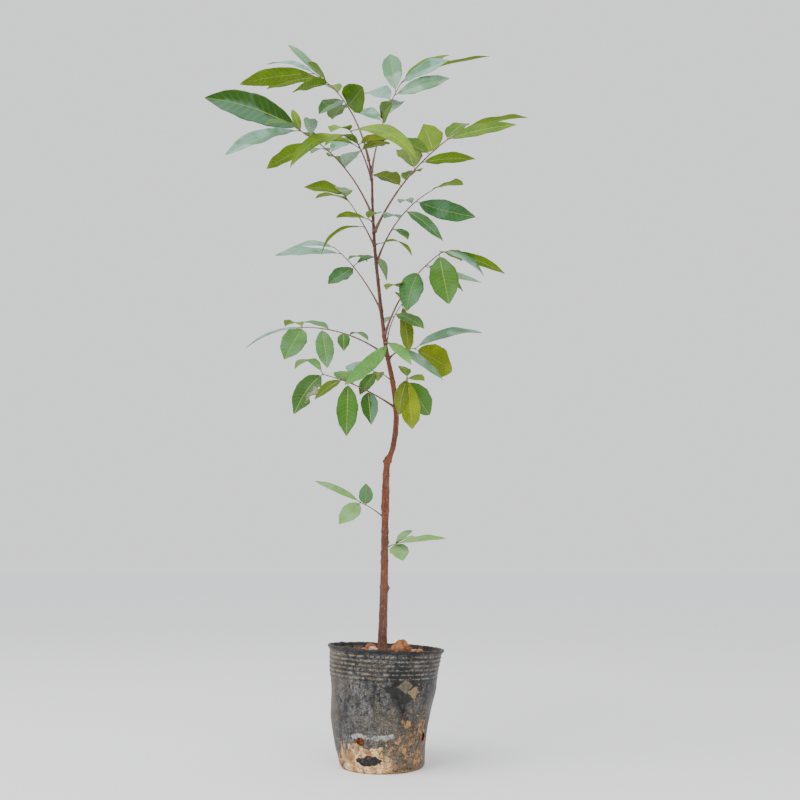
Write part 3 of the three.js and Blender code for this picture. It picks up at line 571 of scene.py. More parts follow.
# The trunk: one thin leader with smooth red-brown bark, kinked where it once lost its tip, ringed and
# knotted where old leaves stood. It is one tube from its flared foot on the soil to a small dark bud.
# Each bend: its height, how far right and back of the pot's middle it lies, and how thick it is.
TRUNK_BENDS = [(150, -1, 0, 13.2), (240, 1.5, 2, 11.2), (330, 2.5, 5, 10), (396, 4, 4, 9.4),
               (413, 5.8, 3.4, 9.2), (438, 14, 2, 8.2), (480, 18.5, 0, 8), (525, 14.5, -2, 7.6),
               (582, 3.5, -4, 6.4), (660, -6, -3, 5.4), (740, -14, 0, 5), (810, -18, 3, 4.2),
               (860, -20, 3, 3.6), (902, -29, 1, 2.4)]
# Each knot: its height and the share by which the trunk is thicker there.
TRUNK_KNOTS = [(238, 0.14), (274, 0.08), (315, 0.1), (346, 0.07), (373, 0.1), (396, 0.12), (416, 0.2),
               (494, 0.1), (532, 0.12), (571, 0.12), (640, 0.12), (714, 0.14), (763, 0.18), (789, 0.14),
               (818, 0.14), (860, 0.12)]
# Each knob: its height, its heading, how far out it stands and how tall it is.
TRUNK_KNOBS = [(235, 80, 1.9, 3.4), (285, -80, 1, 3), (300, 100, 1.2, 3), (352, -100, 1, 3.2),
               (381, -60, 1.1, 3.4), (418, -90, 2.4, 5.5), (423, -75, 1.2, 2.4), (455, 120, 0.8, 3.5),
               (512, 60, 0.8, 3), (600, -90, 0.7, 2.6), (689, 90, 0.6, 2.4), (735, -60, 0.6, 2.4)]
OLD_WOOD_UP = 357
OLD_WOOD_TALL = 18
OLD_WOOD_OUT = 0.9
KNOT_TALL = 4
SCAR_TALL = 1.1
SCAR_GROOVE_BELOW = 2.4
SCAR_GROOVE_TALL = 1.2
BARK_CELL = 1.9
FLARE_THICK = 5
FLARE_TALL = 9
TRUNK_SIDES = 60
TRUNK_STEPS = 940
TIP_SHARE = 0.99
# Each bud scale: the way it turns, how far it leans and its share of the bud's length.
BUD_SCALES = [(0.4, 0.35, 1), (2.6, 0.4, 0.8), (4.6, 0.5, 0.7)]
BUD_LENGTH = 9
BARK_FOOT_BROWN = (0.115, 0.046, 0.022)
BARK_RED = (0.18, 0.044, 0.015)
BARK_TOP_BROWN = (0.072, 0.024, 0.016)
BARK_WEATHERED = (0.062, 0.019, 0.012)
BARK_STREAK = (0.3, 0.2, 0.14)
BARK_SHADE = (0.05, 0.028, 0.02)
BARK_GREY = (0.3, 0.235, 0.18)
LENTICEL_TAN = (0.42, 0.3, 0.19)
UPRIGHT = Vector((0, 0, 1))


def between_bends(up):
    """The trunk's place to the right and back, and its thickness, at a height."""
    last = len(TRUNK_BENDS) - 1
    i = 0
    while i < last - 1 and up > TRUNK_BENDS[i + 1][0]:
        i += 1
    before, here, after, beyond = (TRUNK_BENDS[k] for k in (max(i - 1, 0), i, i + 1, min(i + 2, last)))
    run = after[0] - here[0]
    s = (up - here[0]) / run
    values = []
    for a, b, c, d in zip(before[1:], here[1:], after[1:], beyond[1:]):
        slope_in = (c - a) * run / (after[0] - before[0])
        slope_out = (d - b) * run / (beyond[0] - here[0])
        values.append(b * (2 * s ** 3 - 3 * s ** 2 + 1) + slope_in * (s ** 3 - 2 * s ** 2 + s)
                      + c * (3 * s ** 2 - 2 * s ** 3) + slope_out * (s ** 3 - s ** 2))
    return values


def trunk_middle(up):
    right, back, _ = between_bends(up)
    return Vector((right, back, up))


def trunk_radius(up):
    swell = 1 + sum(more * bell(up - at, KNOT_TALL) for at, more in TRUNK_KNOTS)
    flare = FLARE_THICK * math.exp(-(up - TRUNK_BENDS[0][0]) / FLARE_TALL)
    return (between_bends(up)[2] * swell + flare) / 2


def tube(skin, sides, steps, section):
    """Adds a closed tube; section(share, heading) gives each point, and both ends are drawn shut."""
    made = bmesh.ops.create_grid(skin, x_segments=sides, y_segments=steps, size=1)["verts"]
    ends = {-1: [], 1: []}
    for corner in made:
        heading = math.pi * corner.co.x
        side = round(corner.co.y, 6)
        corner.co = section((side + 1) / 2, heading)
        if abs(side) == 1:
            ends[side].append(corner)
    for row in ends.values():
        middle = sum((corner.co for corner in row), Vector()) / len(row)
        for corner in row:
            corner.co = middle
    bmesh.ops.remove_doubles(skin, verts=made, dist=1e-4)


def bark_point(share, heading):
    """A point of the bark: lumps, leaf scars with a groove under each, corky cells, old wood and knobs."""
    low, high = TRUNK_BENDS[0][0], TRUNK_BENDS[-1][0]
    up = low + (high - low) * share
    radius = trunk_radius(up)
    outward = Vector((math.sin(heading), math.cos(heading), 0))
    if share > TIP_SHARE:
        radius *= 1 - 0.5 * (share - TIP_SHARE) / (1 - TIP_SHARE)
    right, back, _ = outward * radius
    relief = rough((right, back, up * 0.22), 3.4, 0.03 * radius, 1)
    relief += rough((right, back, up), 8, 0.07 * radius, 2)
    for at, more in TRUNK_KNOTS:
        tilt = up - at + 0.22 * radius * math.sin(heading + at)
        scar = 0.5 * bell(tilt, SCAR_TALL) - 0.35 * bell(tilt + SCAR_GROOVE_BELOW, SCAR_GROOVE_TALL)
        relief += more * radius * scar
    near = noise.voronoi(Vector((right, back, up * 0.55)) / BARK_CELL)[0][0]
    relief += 0.16 * max(0, 0.34 - near) * min(radius, 4)
    relief += OLD_WOOD_OUT * bell(up - OLD_WOOD_UP, OLD_WOOD_TALL)
    for at, heading_at, out, tall in TRUNK_KNOBS:
        if abs(up - at) < 3 * tall:
            beside = math.cos(heading - math.radians(heading_at))
            relief += out * bell(up - at, tall) * max(0, beside) ** 4
    return trunk_middle(up) + outward * (radius + relief)


bark_skin = bmesh.new()
tube(bark_skin, TRUNK_SIDES, TRUNK_STEPS, bark_point)
bud_foot = trunk_middle(TRUNK_BENDS[-1][0]) - Vector((0, 0, 2))
for turn, lean, length in BUD_SCALES:
    scale = bmesh.ops.create_uvsphere(bark_skin, u_segments=14, v_segments=10, radius=1)["verts"]
    leaning = Matrix.Rotation(turn, 3, "Z") @ Matrix.Rotation(lean, 3, "Y")
    for corner in scale:
        share = (corner.co.z + 1) / 2
        narrow = 1.25 * (1 - 0.75 * share ** 1.5)
        corner.co = Vector((corner.co.x * narrow, corner.co.y * narrow * 0.7, share * BUD_LENGTH * length))
        corner.co = leaning @ corner.co + bud_foot

bark, bark_shader, spot = finish_of("red_brown_bark", 0.62, 0.35)
height = node("SeparateXYZ", {"Vector": spot}).outputs["Z"]
ragged_height = plus(height, times(speckle(spot, 14, 3), 0.09))
colour = mixed(stepped(ragged_height, 0.2, 0.42), BARK_FOOT_BROWN, BARK_RED)
colour = mixed(stepped(ragged_height, 0.56, 0.78), colour, BARK_TOP_BROWN)
weathered = speckle(stretched(spot, (1, 1, 0.4)), 70, 5, 0.65)
colour = mixed(stepped(weathered, 0.42, 0.64, 0, 0.7), colour, BARK_WEATHERED)
lengthwise = speckle(stretched(spot, (1, 1, 0.12)), 620, 5, 0.7)
colour = mixed(stepped(lengthwise, 0.5, 0.75, 0, 0.6), colour, BARK_STREAK)
patchy = speckle(stretched(spot, (1, 1, 0.5)), 120, 6, 0.7)
colour = mixed(stepped(patchy, 0.42, 0.26, 0, 0.6), colour, BARK_SHADE)
colour = mixed(stepped(patchy, 0.6, 0.74, 0, 0.55), colour, BARK_GREY)
lenticels = stepped(in_cells(stretched(spot, (1, 1, 0.6)), 430), 0.1, 0.2, 0.7, 0)
colour = mixed(lenticels, colour, LENTICEL_TAN)
relief = plus(lengthwise, plus(lenticels, patchy))
shaded(bark_shader, colour, relief, 0.0005, 0.7, stepped(patchy, 0.3, 0.7, 0.48, 0.78))
trunk = finished(bark_skin, "trunk_bark", bark)
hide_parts("trunk")

# The leaves: twenty compound leaves, each a thin brown stalk from a node on the trunk with pairs of
# long, glossy, wavy-edged leaflets on short stalks. They grow by the model's own seeded rule, with
# finer blades. The crown turns all round the trunk. Many leaflets are painted yellow-green, light
# shining through them from behind, and others pale blue-green, a painted reflection of the sky.
EYE = Vector((24, -1300, 270))
STEM_TIP_SHARE = 0.45
STEM_FOOT_SWELL = 0.5
STALK_SHARE = 0.07
STALK_WIDTH = 1.6
LEAF_SKEW = 1.1
LEAF_FULLNESS = 0.6
KEEL = 0.16
TWIST = math.radians(14)
VEINS = 13
VEIN_SWEEP = 1.5
VEIN_HEIGHT = 0.1
RIB_DEPTH = 0.45
RIB_WIDTH = 0.9
LEAFLET_ARCH = 0.07
# Each run of stalk: its sides and steps, and the shares of its line at which it starts and ends.
STEM_RUN = (12, 60, 0, 1)
STALK_RUN = (8, 12, 0, 0.085)
RIB_RUN = (6, 30, 0.06, 0.97)
RIB_GREENNESS = 0.85
RIB_RADIUS = 0.641
RIB_TAPER = 0.55
STALK_RADIUS = 0.62
STALK_FOOT_SWELL = 0.5
STEM_LAST_NODE = 0.985
BLADE_COLUMNS = 12
BLADE_ROWS = 72
BLADE_THICKNESS = 0.45
BLADE_START = 0.045
NECK_SHARE = 0.03
POINT_FROM = 0.78
FOOT_FULLNESS = 0.09
# Each ripple of a leaflet's edge: how tight it is, how deep, and how much it is shifted.
EDGE_RIPPLES = [(23, 0.026, 1), (61, 0.01, 2)]
# Each notch in the harmed leaflet: where along it, how wide and how deep.
NOTCHES = [(0.6, 0.07, 0.42), (0.35, 0.045, 0.25)]
DRY_TIPS = (0, 0, 0, 0.02, 0.05)
HARMED_DRY_TIP = 0.03
VEIN_PALE = (0.42, 0.52, 0.14)
RIB_PALE = (0.27, 0.36, 0.07)
EDGE_TAN = (0.3, 0.27, 0.07)
DRY_BROWN = (0.13, 0.1, 0.06)
DRY_PALE = (0.38, 0.38, 0.25)
STALK_DARK = (0.085, 0.04, 0.03)
STALK_LIGHT = (0.21, 0.115, 0.06)
STALK_GREEN = (0.3, 0.36, 0.11)
# Each look: the upper side's colour, one that drifts over it, the underside's, and the roughness.
# The pale look is a painted reflection of the sky. The two bright yellow-green looks are painted
# light shining through the leaflet from behind.
LOOKS = {
    "deep": ((0.014, 0.078, 0.002), (0.085, 0.19, 0.11), (0.07, 0.15, 0.02), 0.36),
    "mid": ((0.036, 0.135, 0.008), (0.07, 0.175, 0.035), (0.1, 0.22, 0.03), 0.42),
    "fresh": ((0.086, 0.185, 0.002), (0.045, 0.125, 0.002), (0.1, 0.2, 0.002), 0.5),
    # Painted light: this yellow-green is light shining through the leaflet from behind.
    "bright": ((0.125, 0.232, 0.004), (0.07, 0.16, 0.002), (0.115, 0.212, 0.005), 0.52),
    # Painted reflection: this pale blue-green is the sky reflected in a glossy leaflet.
    "pale": ((0.18, 0.35, 0.275), (0.05, 0.17, 0.06), (0.22, 0.38, 0.26), 0.38),
    "cool": ((0.04, 0.14, 0.036), (0.085, 0.2, 0.1), (0.12, 0.25, 0.09), 0.42),
    "mild": ((0.066, 0.195, 0.05), (0.112, 0.245, 0.122), (0.12, 0.25, 0.09), 0.42),
    "soft": ((0.125, 0.345, 0.066), (0.075, 0.245, 0.048), (0.18, 0.32, 0.1), 0.46),
    "faint": ((0.155, 0.335, 0.092), (0.24, 0.4, 0.175), (0.22, 0.38, 0.15), 0.48),
    # Painted light: a brighter yellow-green for leaflets that face away and would show dark, as if lit
    # through from behind.
    "lime": ((0.19, 0.325, 0.028), (0.115, 0.225, 0.01), (0.19, 0.27, 0.003), 0.5),
    "olive": ((0.098, 0.16, 0.012), (0.064, 0.132, 0.008), (0.124, 0.18, 0.012), 0.5),
    "harmed": ((0.026, 0.1, 0.014), (0.06, 0.14, 0.045), (0.08, 0.16, 0.03), 0.44),
}
# Each spray: its name, the height of its node, its end as right, up and back, how far it arches, how
# thick it is, its seed and its leaflets. Each leaflet: where on the stalk it starts, its tip as
# right, up and back, its width, its tilt to the viewer and its look, and then, where they differ
# from the usual, how far it arches and how far it rises, as shares of its length.
SPRAYS = [
    ("spray_top_left", 878, (-112, 1027, 84), 20, 3, 21, [
        (1, -227, 1008, 56, 32, -38, "bright"), (0.92, -184, 1000, 154, 28, -15, "bright"),
        (0.8, -144, 995, -28, 34, -35, "fresh"), (0.9, -153, 1076, 84, 13, 60, "pale"),
        (0.84, -122, 1045, -14, 20, 65, "fresh"), (1, -185, 1042, 168, 26, 35, "pale"),
        (0.66, -84, 1003, 182, 26, 60, "fresh"), (0.5, -34, 1003, -42, 46, 80, "fresh"),
        (0.58, -102, 958, -28, 28, 50, "deep"), (0.53, -81, 949, 154, 34, 50, "deep")]),
    ("spray_top_right", 860, (27, 1012, 56), 10, 3, 22, [
        (0.87, 8, 1060, 70, 32, 90, "pale"), (1, 101, 1049, 0, 28, 55, "pale"),
        (1, 103, 1058, 154, 26, 35, "fresh"), (1, 166, 1056, 84, 22, 13, "bright"),
        (0.83, 102, 1018, 14, 26, 60, "pale"), (0.54, 13, 976, -84, 28, 80, "fresh"),
        (0.56, 27, 978, 126, 24, 55, "pale"), (0.76, -28, 993, 140, 38, 55, "pale"),
        (0.51, -48, 961, 126, 26, 55, "pale")]),
    ("spray_top_front", 849, (-53, 930, -98), 8, 3, 23, [
        (1, -83, 928, -210, 26, 20, "bright"), (1, 50, 883, -182, 26, 52, "bright", 0.04, 0.09),
        (0.67, 24, 913, -154, 26, -10, "lime"), (0.55, 9, 910, -104, 22, 0, "olive"),
        (0.62, -92, 905, -140, 24, 25, "bright", 0.15),
        (0.58, -145, 869, -140, 24, 48, "bright", 0.05, 0.15)]),
    ("spray_high_left", 789, (-132, 931, -84), 20, 3, 24, [
        (1, -281, 985, -112, 40, 80, "deep", 0.07, 0.06), (1, -245, 890, -168, 30, 43, "pale"),
        (1, -184, 941, -182, 24, 40, "mid"), (1, -144, 966, -84, 12, 60, "bright"),
        (0.9, -116, 950, -168, 20, 60, "pale"), (0.97, -110, 916, 0, 20, 10, "bright"),
        (0.83, -181, 867, -56, 30, -15, "bright"), (0.48, -87, 888, 56, 28, -20, "olive"),
        (0.49, -42, 895, -154, 26, 50, "pale"), (0.68, -113, 892, 42, 22, 30, "pale"),
        (0.68, -53, 918, 30, 26, 40, "pale")]),
    ("spray_high_right", 763, (98, 916, -56), 14, 3.8, 25, [
        (1, 205, 940, -84, 24, 52, "fresh"), (1, 223, 952, 0, 28, 0, "bright"),
        (1, 127, 942, 42, 30, 30, "fresh"), (0.86, 60, 941, 28, 44, -80, "bright"),
        (0.82, 19, 914, -98, 28, -15, "mid"), (0.64, 32, 901, 70, 40, 40, "olive"),
        (0.72, 140, 883, -28, 26, -18, "fresh"), (0.46, -14, 859, -112, 30, -22, "olive"),
        (0.51, 55, 863, 84, 30, -25, "fresh")]),
    ("spray_upper_left", 741, (-61, 824, 126), 4, 2.8, 26, [
        (1, -123, 837, 84, 30, -16, "bright", 0.07, 0.04), (0.85, -105, 819, 196, 24, 5, "bright"),
        (0.95, -58, 832, 210, 22, 10, "bright"), (1, -71, 836, 28, 22, 50, "pale"),
        (0.33, -95, 730, 42, 20, 5, "bright", 0.2)]),
    ("spray_upper_small", 780, (-26, 786, -12), 1, 2.4, 27, [
        (1, -73, 788, 30, 22, -12, "bright"), (0.9, -8, 795, -100, 20, 20, "bright")]),
    ("spray_middle_right", 714, (75, 833, 70), 15, 3, 28, [
        (0.77, 139, 789, 14, 34, 66, "cool", 0.07, -0.05),
        (0.61, 89, 751, -28, 20, 56, "cool", 0.14, -0.02), (1, 121, 841, 154, 30, -20, "bright"),
        (0.36, 36, 753, -56, 20, 8, "mid"), (0.72, 24, 811, 140, 22, 40, "pale"),
        (0.5, 0, 787, -70, 22, 45, "pale")]),
    ("spray_middle_small", 744, (-4, 747, -8), 1, 2.2, 29, [
        (1, 42, 727, -42, 18, 5, "bright", 0.24)]),
    ("spray_middle_left", 640, (-76, 741, 98), 8, 2.8, 30, [
        (1, -147, 737, 182, 26, 40, "pale"), (0.86, -165, 728, 70, 28, 38, "pale"),
        (0.6, -84, 683, 14, 26, 60, "cool"), (0.74, -25, 718, 168, 16, 12, "mid"),
        (0.62, 4, 688, 154, 22, 35, "cool", 0.25)]),
    ("spray_low_right", 601, (90, 735, -84), 18, 3, 31, [
        (0.7, 34, 641, -84, 34, 78, "mild", 0.07, 0.07), (0.96, 97, 652, -112, 40, 80, "mid"),
        (1, 150, 695, -42, 24, 45, "pale", 0.15), (1, 182, 699, -28, 20, -25, "fresh"),
        (0.97, 117, 719, 42, 24, -10, "bright"), (0.47, 3, 674, -140, 22, -5, "olive"),
        (0.78, 146, 685, 40, 13, -35, "pale", 0.07, -0.06), (0.8, 119, 671, 0, 26, 50, "fresh")]),
    ("spray_low_front", 591, (7, 592, -20), 1, 2.8, 32, [
        (1, -58, 529, -70, 23, 60, "soft", 0.07, -0.06), (0.95, 41, 559, -112, 17, 55, "soft"),
        (1, 87, 537, -42, 17, 42, "pale")]),
    ("spray_low_inner", 575, (29, 655, -12), 8, 2.4, 33, [
        (1, 24, 668, 70, 20, -20, "bright"), (0.98, 37, 579, -56, 20, -60, "olive"),
        (0.7, 2, 623, 40, 18, 40, "pale"), (0.76, 60, 614, -98, 22, 55, "mid")]),
    ("spray_low_left", 571, (-123, 616, -42), 12, 2.8, 34, [
        (1, -147, 567, -98, 34, 75, "mild"), (0.79, -83, 554, -70, 26, 70, "mild"),
        (0.55, -59, 580, -84, 18, 60, "mid"), (0.48, -23, 596, -98, 14, 15, "mid", 0.1),
        (0.7, -123, 624, 56, 20, 30, "mild", 0.05), (1, -147, 618, 70, 22, -15, "bright"),
        (1, -205, 584, -28, 16, 27, "pale", 0.12)]),
    ("spray_low_back", 566, (46, 583, 28), 6, 2.8, 35, [
        (1, 147, 607, 70, 24, 40, "pale", 0.1, 0.03), (1, 101, 550, -42, 44, -75, "lime")]),
    ("spray_lower_inner", 532, (-12, 548, 42), 3, 2.2, 36, [
        (1, -56, 557, 112, 30, 55, "pale"), (1, -35, 514, 0, 20, 50, "mid"),
        (0.8, -9, 534, 126, 18, -10, "bright")]),
    ("spray_lower_left", 494, (-91, 545, -84), 6, 2.8, 37, [
        (1, -131, 485, -126, 30, 75, "harmed", 0.07, 0.06), (1, -131, 553, 0, 20, 20, "soft", 0.22),
        (0.76, -101, 507, 14, 16, -50, "bright"), (0.68, -54, 453, -84, 30, 70, "mid"),
        (0.41, -18, 470, -98, 24, 60, "deep"), (0.6, -68, 549, 14, 28, 50, "soft")]),
    ("spray_lower_right", 469, (35, 541, -28), 4, 2.6, 38, [
        (1, 42, 463, -70, 28, -75, "lime"), (1, 22, 484, -84, 22, -60, "olive"),
        (1, 26, 557, 30, 18, -30, "bright"), (0.97, 60, 535, -90, 18, 55, "bright"),
        (0.93, 67, 484, -14, 36, 75, "mid")]),
    ("spray_stem_left", 334, (-33, 357, -28), 2, 2.2, 39, [
        (1, -99, 388, 28, 15, 35, "faint", 0.03), (0.8, -25, 384, -50, 20, 65, "mild"),
        (1, -63, 326, -70, 24, 75, "faint")]),
    ("spray_stem_right", 291, (18, 298, -28), 1, 2.2, 40, [
        (1, 41, 318, 28, 14, 20, "faint"), (1, 89, 306, -28, 20, 25, "faint"),
        (1, 45, 306, -84, 18, 40, "faint"), (1, 28, 275, -76, 26, 60, "faint")]),
]


def seen(place):
    """A place given as right, up and back, where back moves it along the line of sight."""
    right, up, back = place
    return EYE + (Vector((right, 0, up)) - EYE) * (1 - back / EYE.y)


def arched(start, end, lift, face, rise=0):
    """A line from start to end that bulges by `lift` towards `face`, and by `rise` upwards."""
    chord = end - start

    def square(way):
        return way - chord * (way.dot(chord) / chord.length_squared)
    bulge = square(face).normalized() * 4 * lift + square(UPRIGHT).normalized() * 4 * rise
    return lambda share: start + chord * share + bulge * (share * (1 - share))


def along_at(line, share):
    return (line(min(share + 0.02, 1)) - line(max(share - 0.02, 0))).normalized()


def half_width(share, wide):
    if share <= STALK_SHARE:
        return STALK_WIDTH / 2
    blade = (share - STALK_SHARE) / (1 - STALK_SHARE)
    oval = math.sin(math.pi * min(blade ** LEAF_SKEW, 1)) ** LEAF_FULLNESS
    return max(wide / 2 * oval, STALK_WIDTH / 2 * (1 - blade) + 0.35)


def leaflet_rule(start, tip, wide, face, draw, arch=LEAFLET_ARCH, rise=0):
    """The leaflet's middle line, and a frame of along, up, across and half width on it."""
    end = seen(tip)
    long = (end - start).length
    facing = UPRIGHT * math.cos(math.radians(face))
    facing += (EYE - start).normalized() * math.sin(math.radians(face))
    line = arched(start, end, arch * (0.8 + 0.4 * draw()) * long, facing, rise * long)
    twist = TWIST * (2 * draw() - 1)

    def frame_at(share):
        along = along_at(line, share)
        up = (facing - along * facing.dot(along)).normalized()
        up = Matrix.Rotation(twist * (share - 0.5), 3, along) @ up
        return line(share), along, up, along.cross(up), half_width(share, wide)
    return line, frame_at


# A blank blade of two sides, 1 long and 2 wide, from which every leaflet is formed.
blank = bmesh.new()
bmesh.ops.create_grid(blank, x_segments=BLADE_COLUMNS, y_segments=BLADE_ROWS, size=1)
for corner in blank.verts:
    corner.co = Vector((corner.co.x, (corner.co.y + 1) / 2, 0.5))
under = bmesh.ops.duplicate(blank, geom=blank.faces[:] + blank.edges[:] + blank.verts[:])["geom"]
for part in under:
    if isinstance(part, bmesh.types.BMVert):
        part.co.z = -0.5
    if isinstance(part, bmesh.types.BMFace):
        part.material_index = 1
bmesh.ops.reverse_faces(blank, faces=[part for part in under if isinstance(part, bmesh.types.BMFace)])
bmesh.ops.bridge_loops(blank, edges=[edge for edge in blank.edges if edge.is_boundary])
leaf_uv = blank.loops.layers.uv.new("leaf")
for face in blank.faces:
    face.smooth = True
    for loop in face.loops:
        loop[leaf_uv].uv = (loop.vert.co.x / 2 + 0.5, loop.vert.co.y)
LEAF_LAYERS = ("beside", "tint", "dry")
for layer in LEAF_LAYERS:
    blank.verts.layers.float.new(layer)
blank_mesh = bpy.data.meshes.new("leaf_blank")
blank.to_mesh(blank_mesh)
blank.free()


def add_blade(skin, wide, harmed, frame_at, slot, chance):
    """Adds one leaflet's blade to a skin, waved, veined and grooved along the model's own line."""
    first = len(skin.verts)
    first_face = len(skin.faces)
    skin.from_mesh(blank_mesh)
    skin.verts.ensure_lookup_table()
    skin.faces.ensure_lookup_table()
    for face in skin.faces[first_face:]:
        face.material_index = slot + face.material_index
    beside, tint, dry = (skin.verts.layers.float[name] for name in LEAF_LAYERS)
    shade = chance.random()
    waves = {}
    for side in (-1, 1):
        count, phase = chance.uniform(1.5, 3), chance.uniform(0, 6.3)
        waves[side] = (count, phase, chance.uniform(0.02, 0.055) * wide * min(1, wide / 30))
    tip_dry = HARMED_DRY_TIP if harmed else chance.choice(DRY_TIPS)
    cup = chance.uniform(-0.1, 0.12)
    long = (frame_at(1)[0] - frame_at(0)[0]).length
    # The narrower a leaflet is for its length, the more its end is drawn out to a point.
    point = 0.5 * min(max((long / wide - 1.3) / 1.2, 0), 1)
    rows = {}
    for corner in skin.verts[first:]:
        x, y, z = corner.co
        out = abs(x)
        if y not in rows:
            rows[y] = frame_at(BLADE_START + (1 - BLADE_START) * y)
        middle, along, up, across, half = rows[y]
        side = 1 if x > 0 else -1
        count, phase, height = waves[side]
        blade = max(0, (y - NECK_SHARE) / (1 - NECK_SHARE))
        if y < NECK_SHARE:
            half = 0.5
        half *= 1 - point * max(0, (blade - POINT_FROM) / (1 - POINT_FROM)) ** 1.4
        half *= 1 + FOOT_FULLNESS * math.cos(math.pi * blade)
        outline = 1 + sum(deep * math.sin(tight * y + shift * phase) for tight, deep, shift in EDGE_RIPPLES)
        if harmed and side < 0:
            outline -= sum(deep * bell(y - at, reach) for at, reach, deep in NOTCHES)
        swing = math.sin(math.pi * min(blade, 1)) ** 0.6
        lift = cup * half * x * x - KEEL * half * (1 - out)
        lift += height * out ** 3 * math.sin(2 * math.pi * count * y + phase) * swing
        vein = math.cos(2 * math.pi * (VEINS * y - VEIN_SWEEP * out - 0.5))
        lift += VEIN_HEIGHT * swing * vein * (1 - x * x)
        lift -= RIB_DEPTH * bell(x * half, RIB_WIDTH)
        thick = BLADE_THICKNESS * (1 - 0.5 * out ** 4)
        corner.co = middle + across * (x * half * outline) + up * (lift + z * thick)
        corner[beside] = out * half
        corner[tint] = shade
        corner[dry] = max(0, (y - 1 + tip_dry) / tip_dry) if tip_dry else 0
        if harmed:
            corner[dry] += 0.5 * bell(y - 0.5, 0.36) * bell(x + 0.7, 0.6)


def add_stalk(skin, line, radius, sides, steps, start, end, drop=None, rib=0):
    """Adds a thin stalk along a line; `drop` sets how far it lies under it, and `rib` greens it."""
    first = len(skin.verts)

    def point(share, heading):
        at = start + (end - start) * share
        along = along_at(line, at)
        across = along.cross(Vector((0, 1, 0))).normalized()
        way = across * math.cos(heading) + across.cross(along) * math.sin(heading)
        return line(at) + way * radius(at) + (drop(at) if drop else Vector())
    tube(skin, sides, steps, point)
    skin.verts.ensure_lookup_table()
    layer = skin.verts.layers.float["rib"]
    for corner in skin.verts[first:]:
        corner[layer] = rib


def stem_radius(share, thick, long):
    foot = 1 + STEM_FOOT_SWELL * bell(share, 1 / 8) + 0.8 * bell(share * long, 5)
    return thick / 2 * (1 - (1 - STEM_TIP_SHARE) * share) * foot


def stalk_radius(share):
    return STALK_RADIUS + STALK_FOOT_SWELL * bell(share, 0.018)


def rib_radius(share):
    return RIB_RADIUS - RIB_TAPER * share


def toned(tone, share):
    return [part * share for part in tone]


def leaf_finish(name, tone, second, roughness, upper, painted_sheen_side=0):
    """The skin of a leaflet: veins, midrib, edge and dry places follow its own length and width."""
    material, shader, spot = finish_of(name, roughness, 0.2)
    tree = material.node_tree
    beside, tint, dry = (node("Attribute", {}, tree, attribute_name=layer).outputs["Fac"]
                         for layer in LEAF_LAYERS)
    flat = node("UVMap", {}, tree, uv_map="leaf").outputs[0]
    sideways, lengthwise, _ = node("SeparateXYZ", {"Vector": flat}).outputs
    out = times(worked("ABSOLUTE", minus(sideways, 0.5)), 2)
    cloud = speckle(spot, 60, 4)
    grain = speckle(spot, 500, 4)
    phase = plus(minus(times(lengthwise, VEINS), times(out, VEIN_SWEEP)), times(cloud, 0.35))
    apart = worked("PINGPONG", phase, 0.5)
    vein = times(stepped(apart, 0.02, 0.12, 1, 0), stepped(out, 0.2, 1, 1, 0.25))
    rib = stepped(beside, 0.25, 0.7, 1, 0)
    warm = (tone[0] * 1.35 + 0.02, tone[1] * 1.1, tone[2] * 0.8)
    colour = mixed(stepped(cloud, 0.3, 0.7), toned(tone, 0.78), toned(tone, 1.15))
    colour = mixed(times(tint, 0.5), colour, warm)
    drift = plus(speckle(spot, 26, 2, 0.5), times(tint, 0.12))
    if upper:
        # Painted light and shade: one half of the upper side leans further towards the second colour, and the
        # other half leans away from it.
        drift = plus(drift, stepped(sideways, 0.2, 0.8, painted_sheen_side, -painted_sheen_side))
    colour = mixed(stepped(drift, 0.5, 0.66, 0, 0.75), colour, second)
    colour = mixed(stepped(apart, 0.1, 0.5, 0, 0.12), colour, toned(tone, 0.75))
    pale = [own * 0.55 + more * 0.45 for own, more in zip(tone, VEIN_PALE)]
    colour = mixed(times(vein, 0.2 if upper else 0.36), colour, pale)
    colour = mixed(times(rib, 0.6), colour, RIB_PALE)
    colour = mixed(stepped(out, 0.94, 1, 0, 0.35), colour, EDGE_TAN)
    dead = stepped(plus(dry, times(minus(grain, 0.5), 0.8)), 0.3, 0.5)
    colour = mixed(dead, colour, mixed(grain, DRY_BROWN, DRY_PALE))
    relief = plus(times(apart, 2 if upper else -2), times(grain, 0.35))
    dull = plus(stepped(cloud, 0.3, 0.7, roughness + 0.02, roughness + 0.2), times(dead, 0.4))
    shaded(shader, colour, relief, 0.0004, 0.55, dull)
    return material


leaf_finishes = {}
for look, (top, second, below, gloss) in LOOKS.items():
    # The deep look leans hardest: a painted sheen of its pale blue-green second colour along one half.
    painted_sheen_side = 0.16 if look == "deep" else 0.04
    above = leaf_finish("leaf_" + look, top, second, gloss, True, painted_sheen_side)
    beneath = leaf_finish("leaf_" + look + "_under", below, toned(below, 0.8), gloss + 0.2, False)
    leaf_finishes[look] = (above, beneath)

stalk_brown, stalk_shader, spot = finish_of("stalk_brown", 0.5, 0.4)
grain = speckle(spot, 300, 5)
green = node("Attribute", {}, stalk_brown.node_tree, attribute_name="rib").outputs["Fac"]
colour = mixed(green, mixed(stepped(grain, 0.35, 0.65), STALK_DARK, STALK_LIGHT), STALK_GREEN)
shaded(stalk_shader, colour, grain, 0.0003, 0.4)

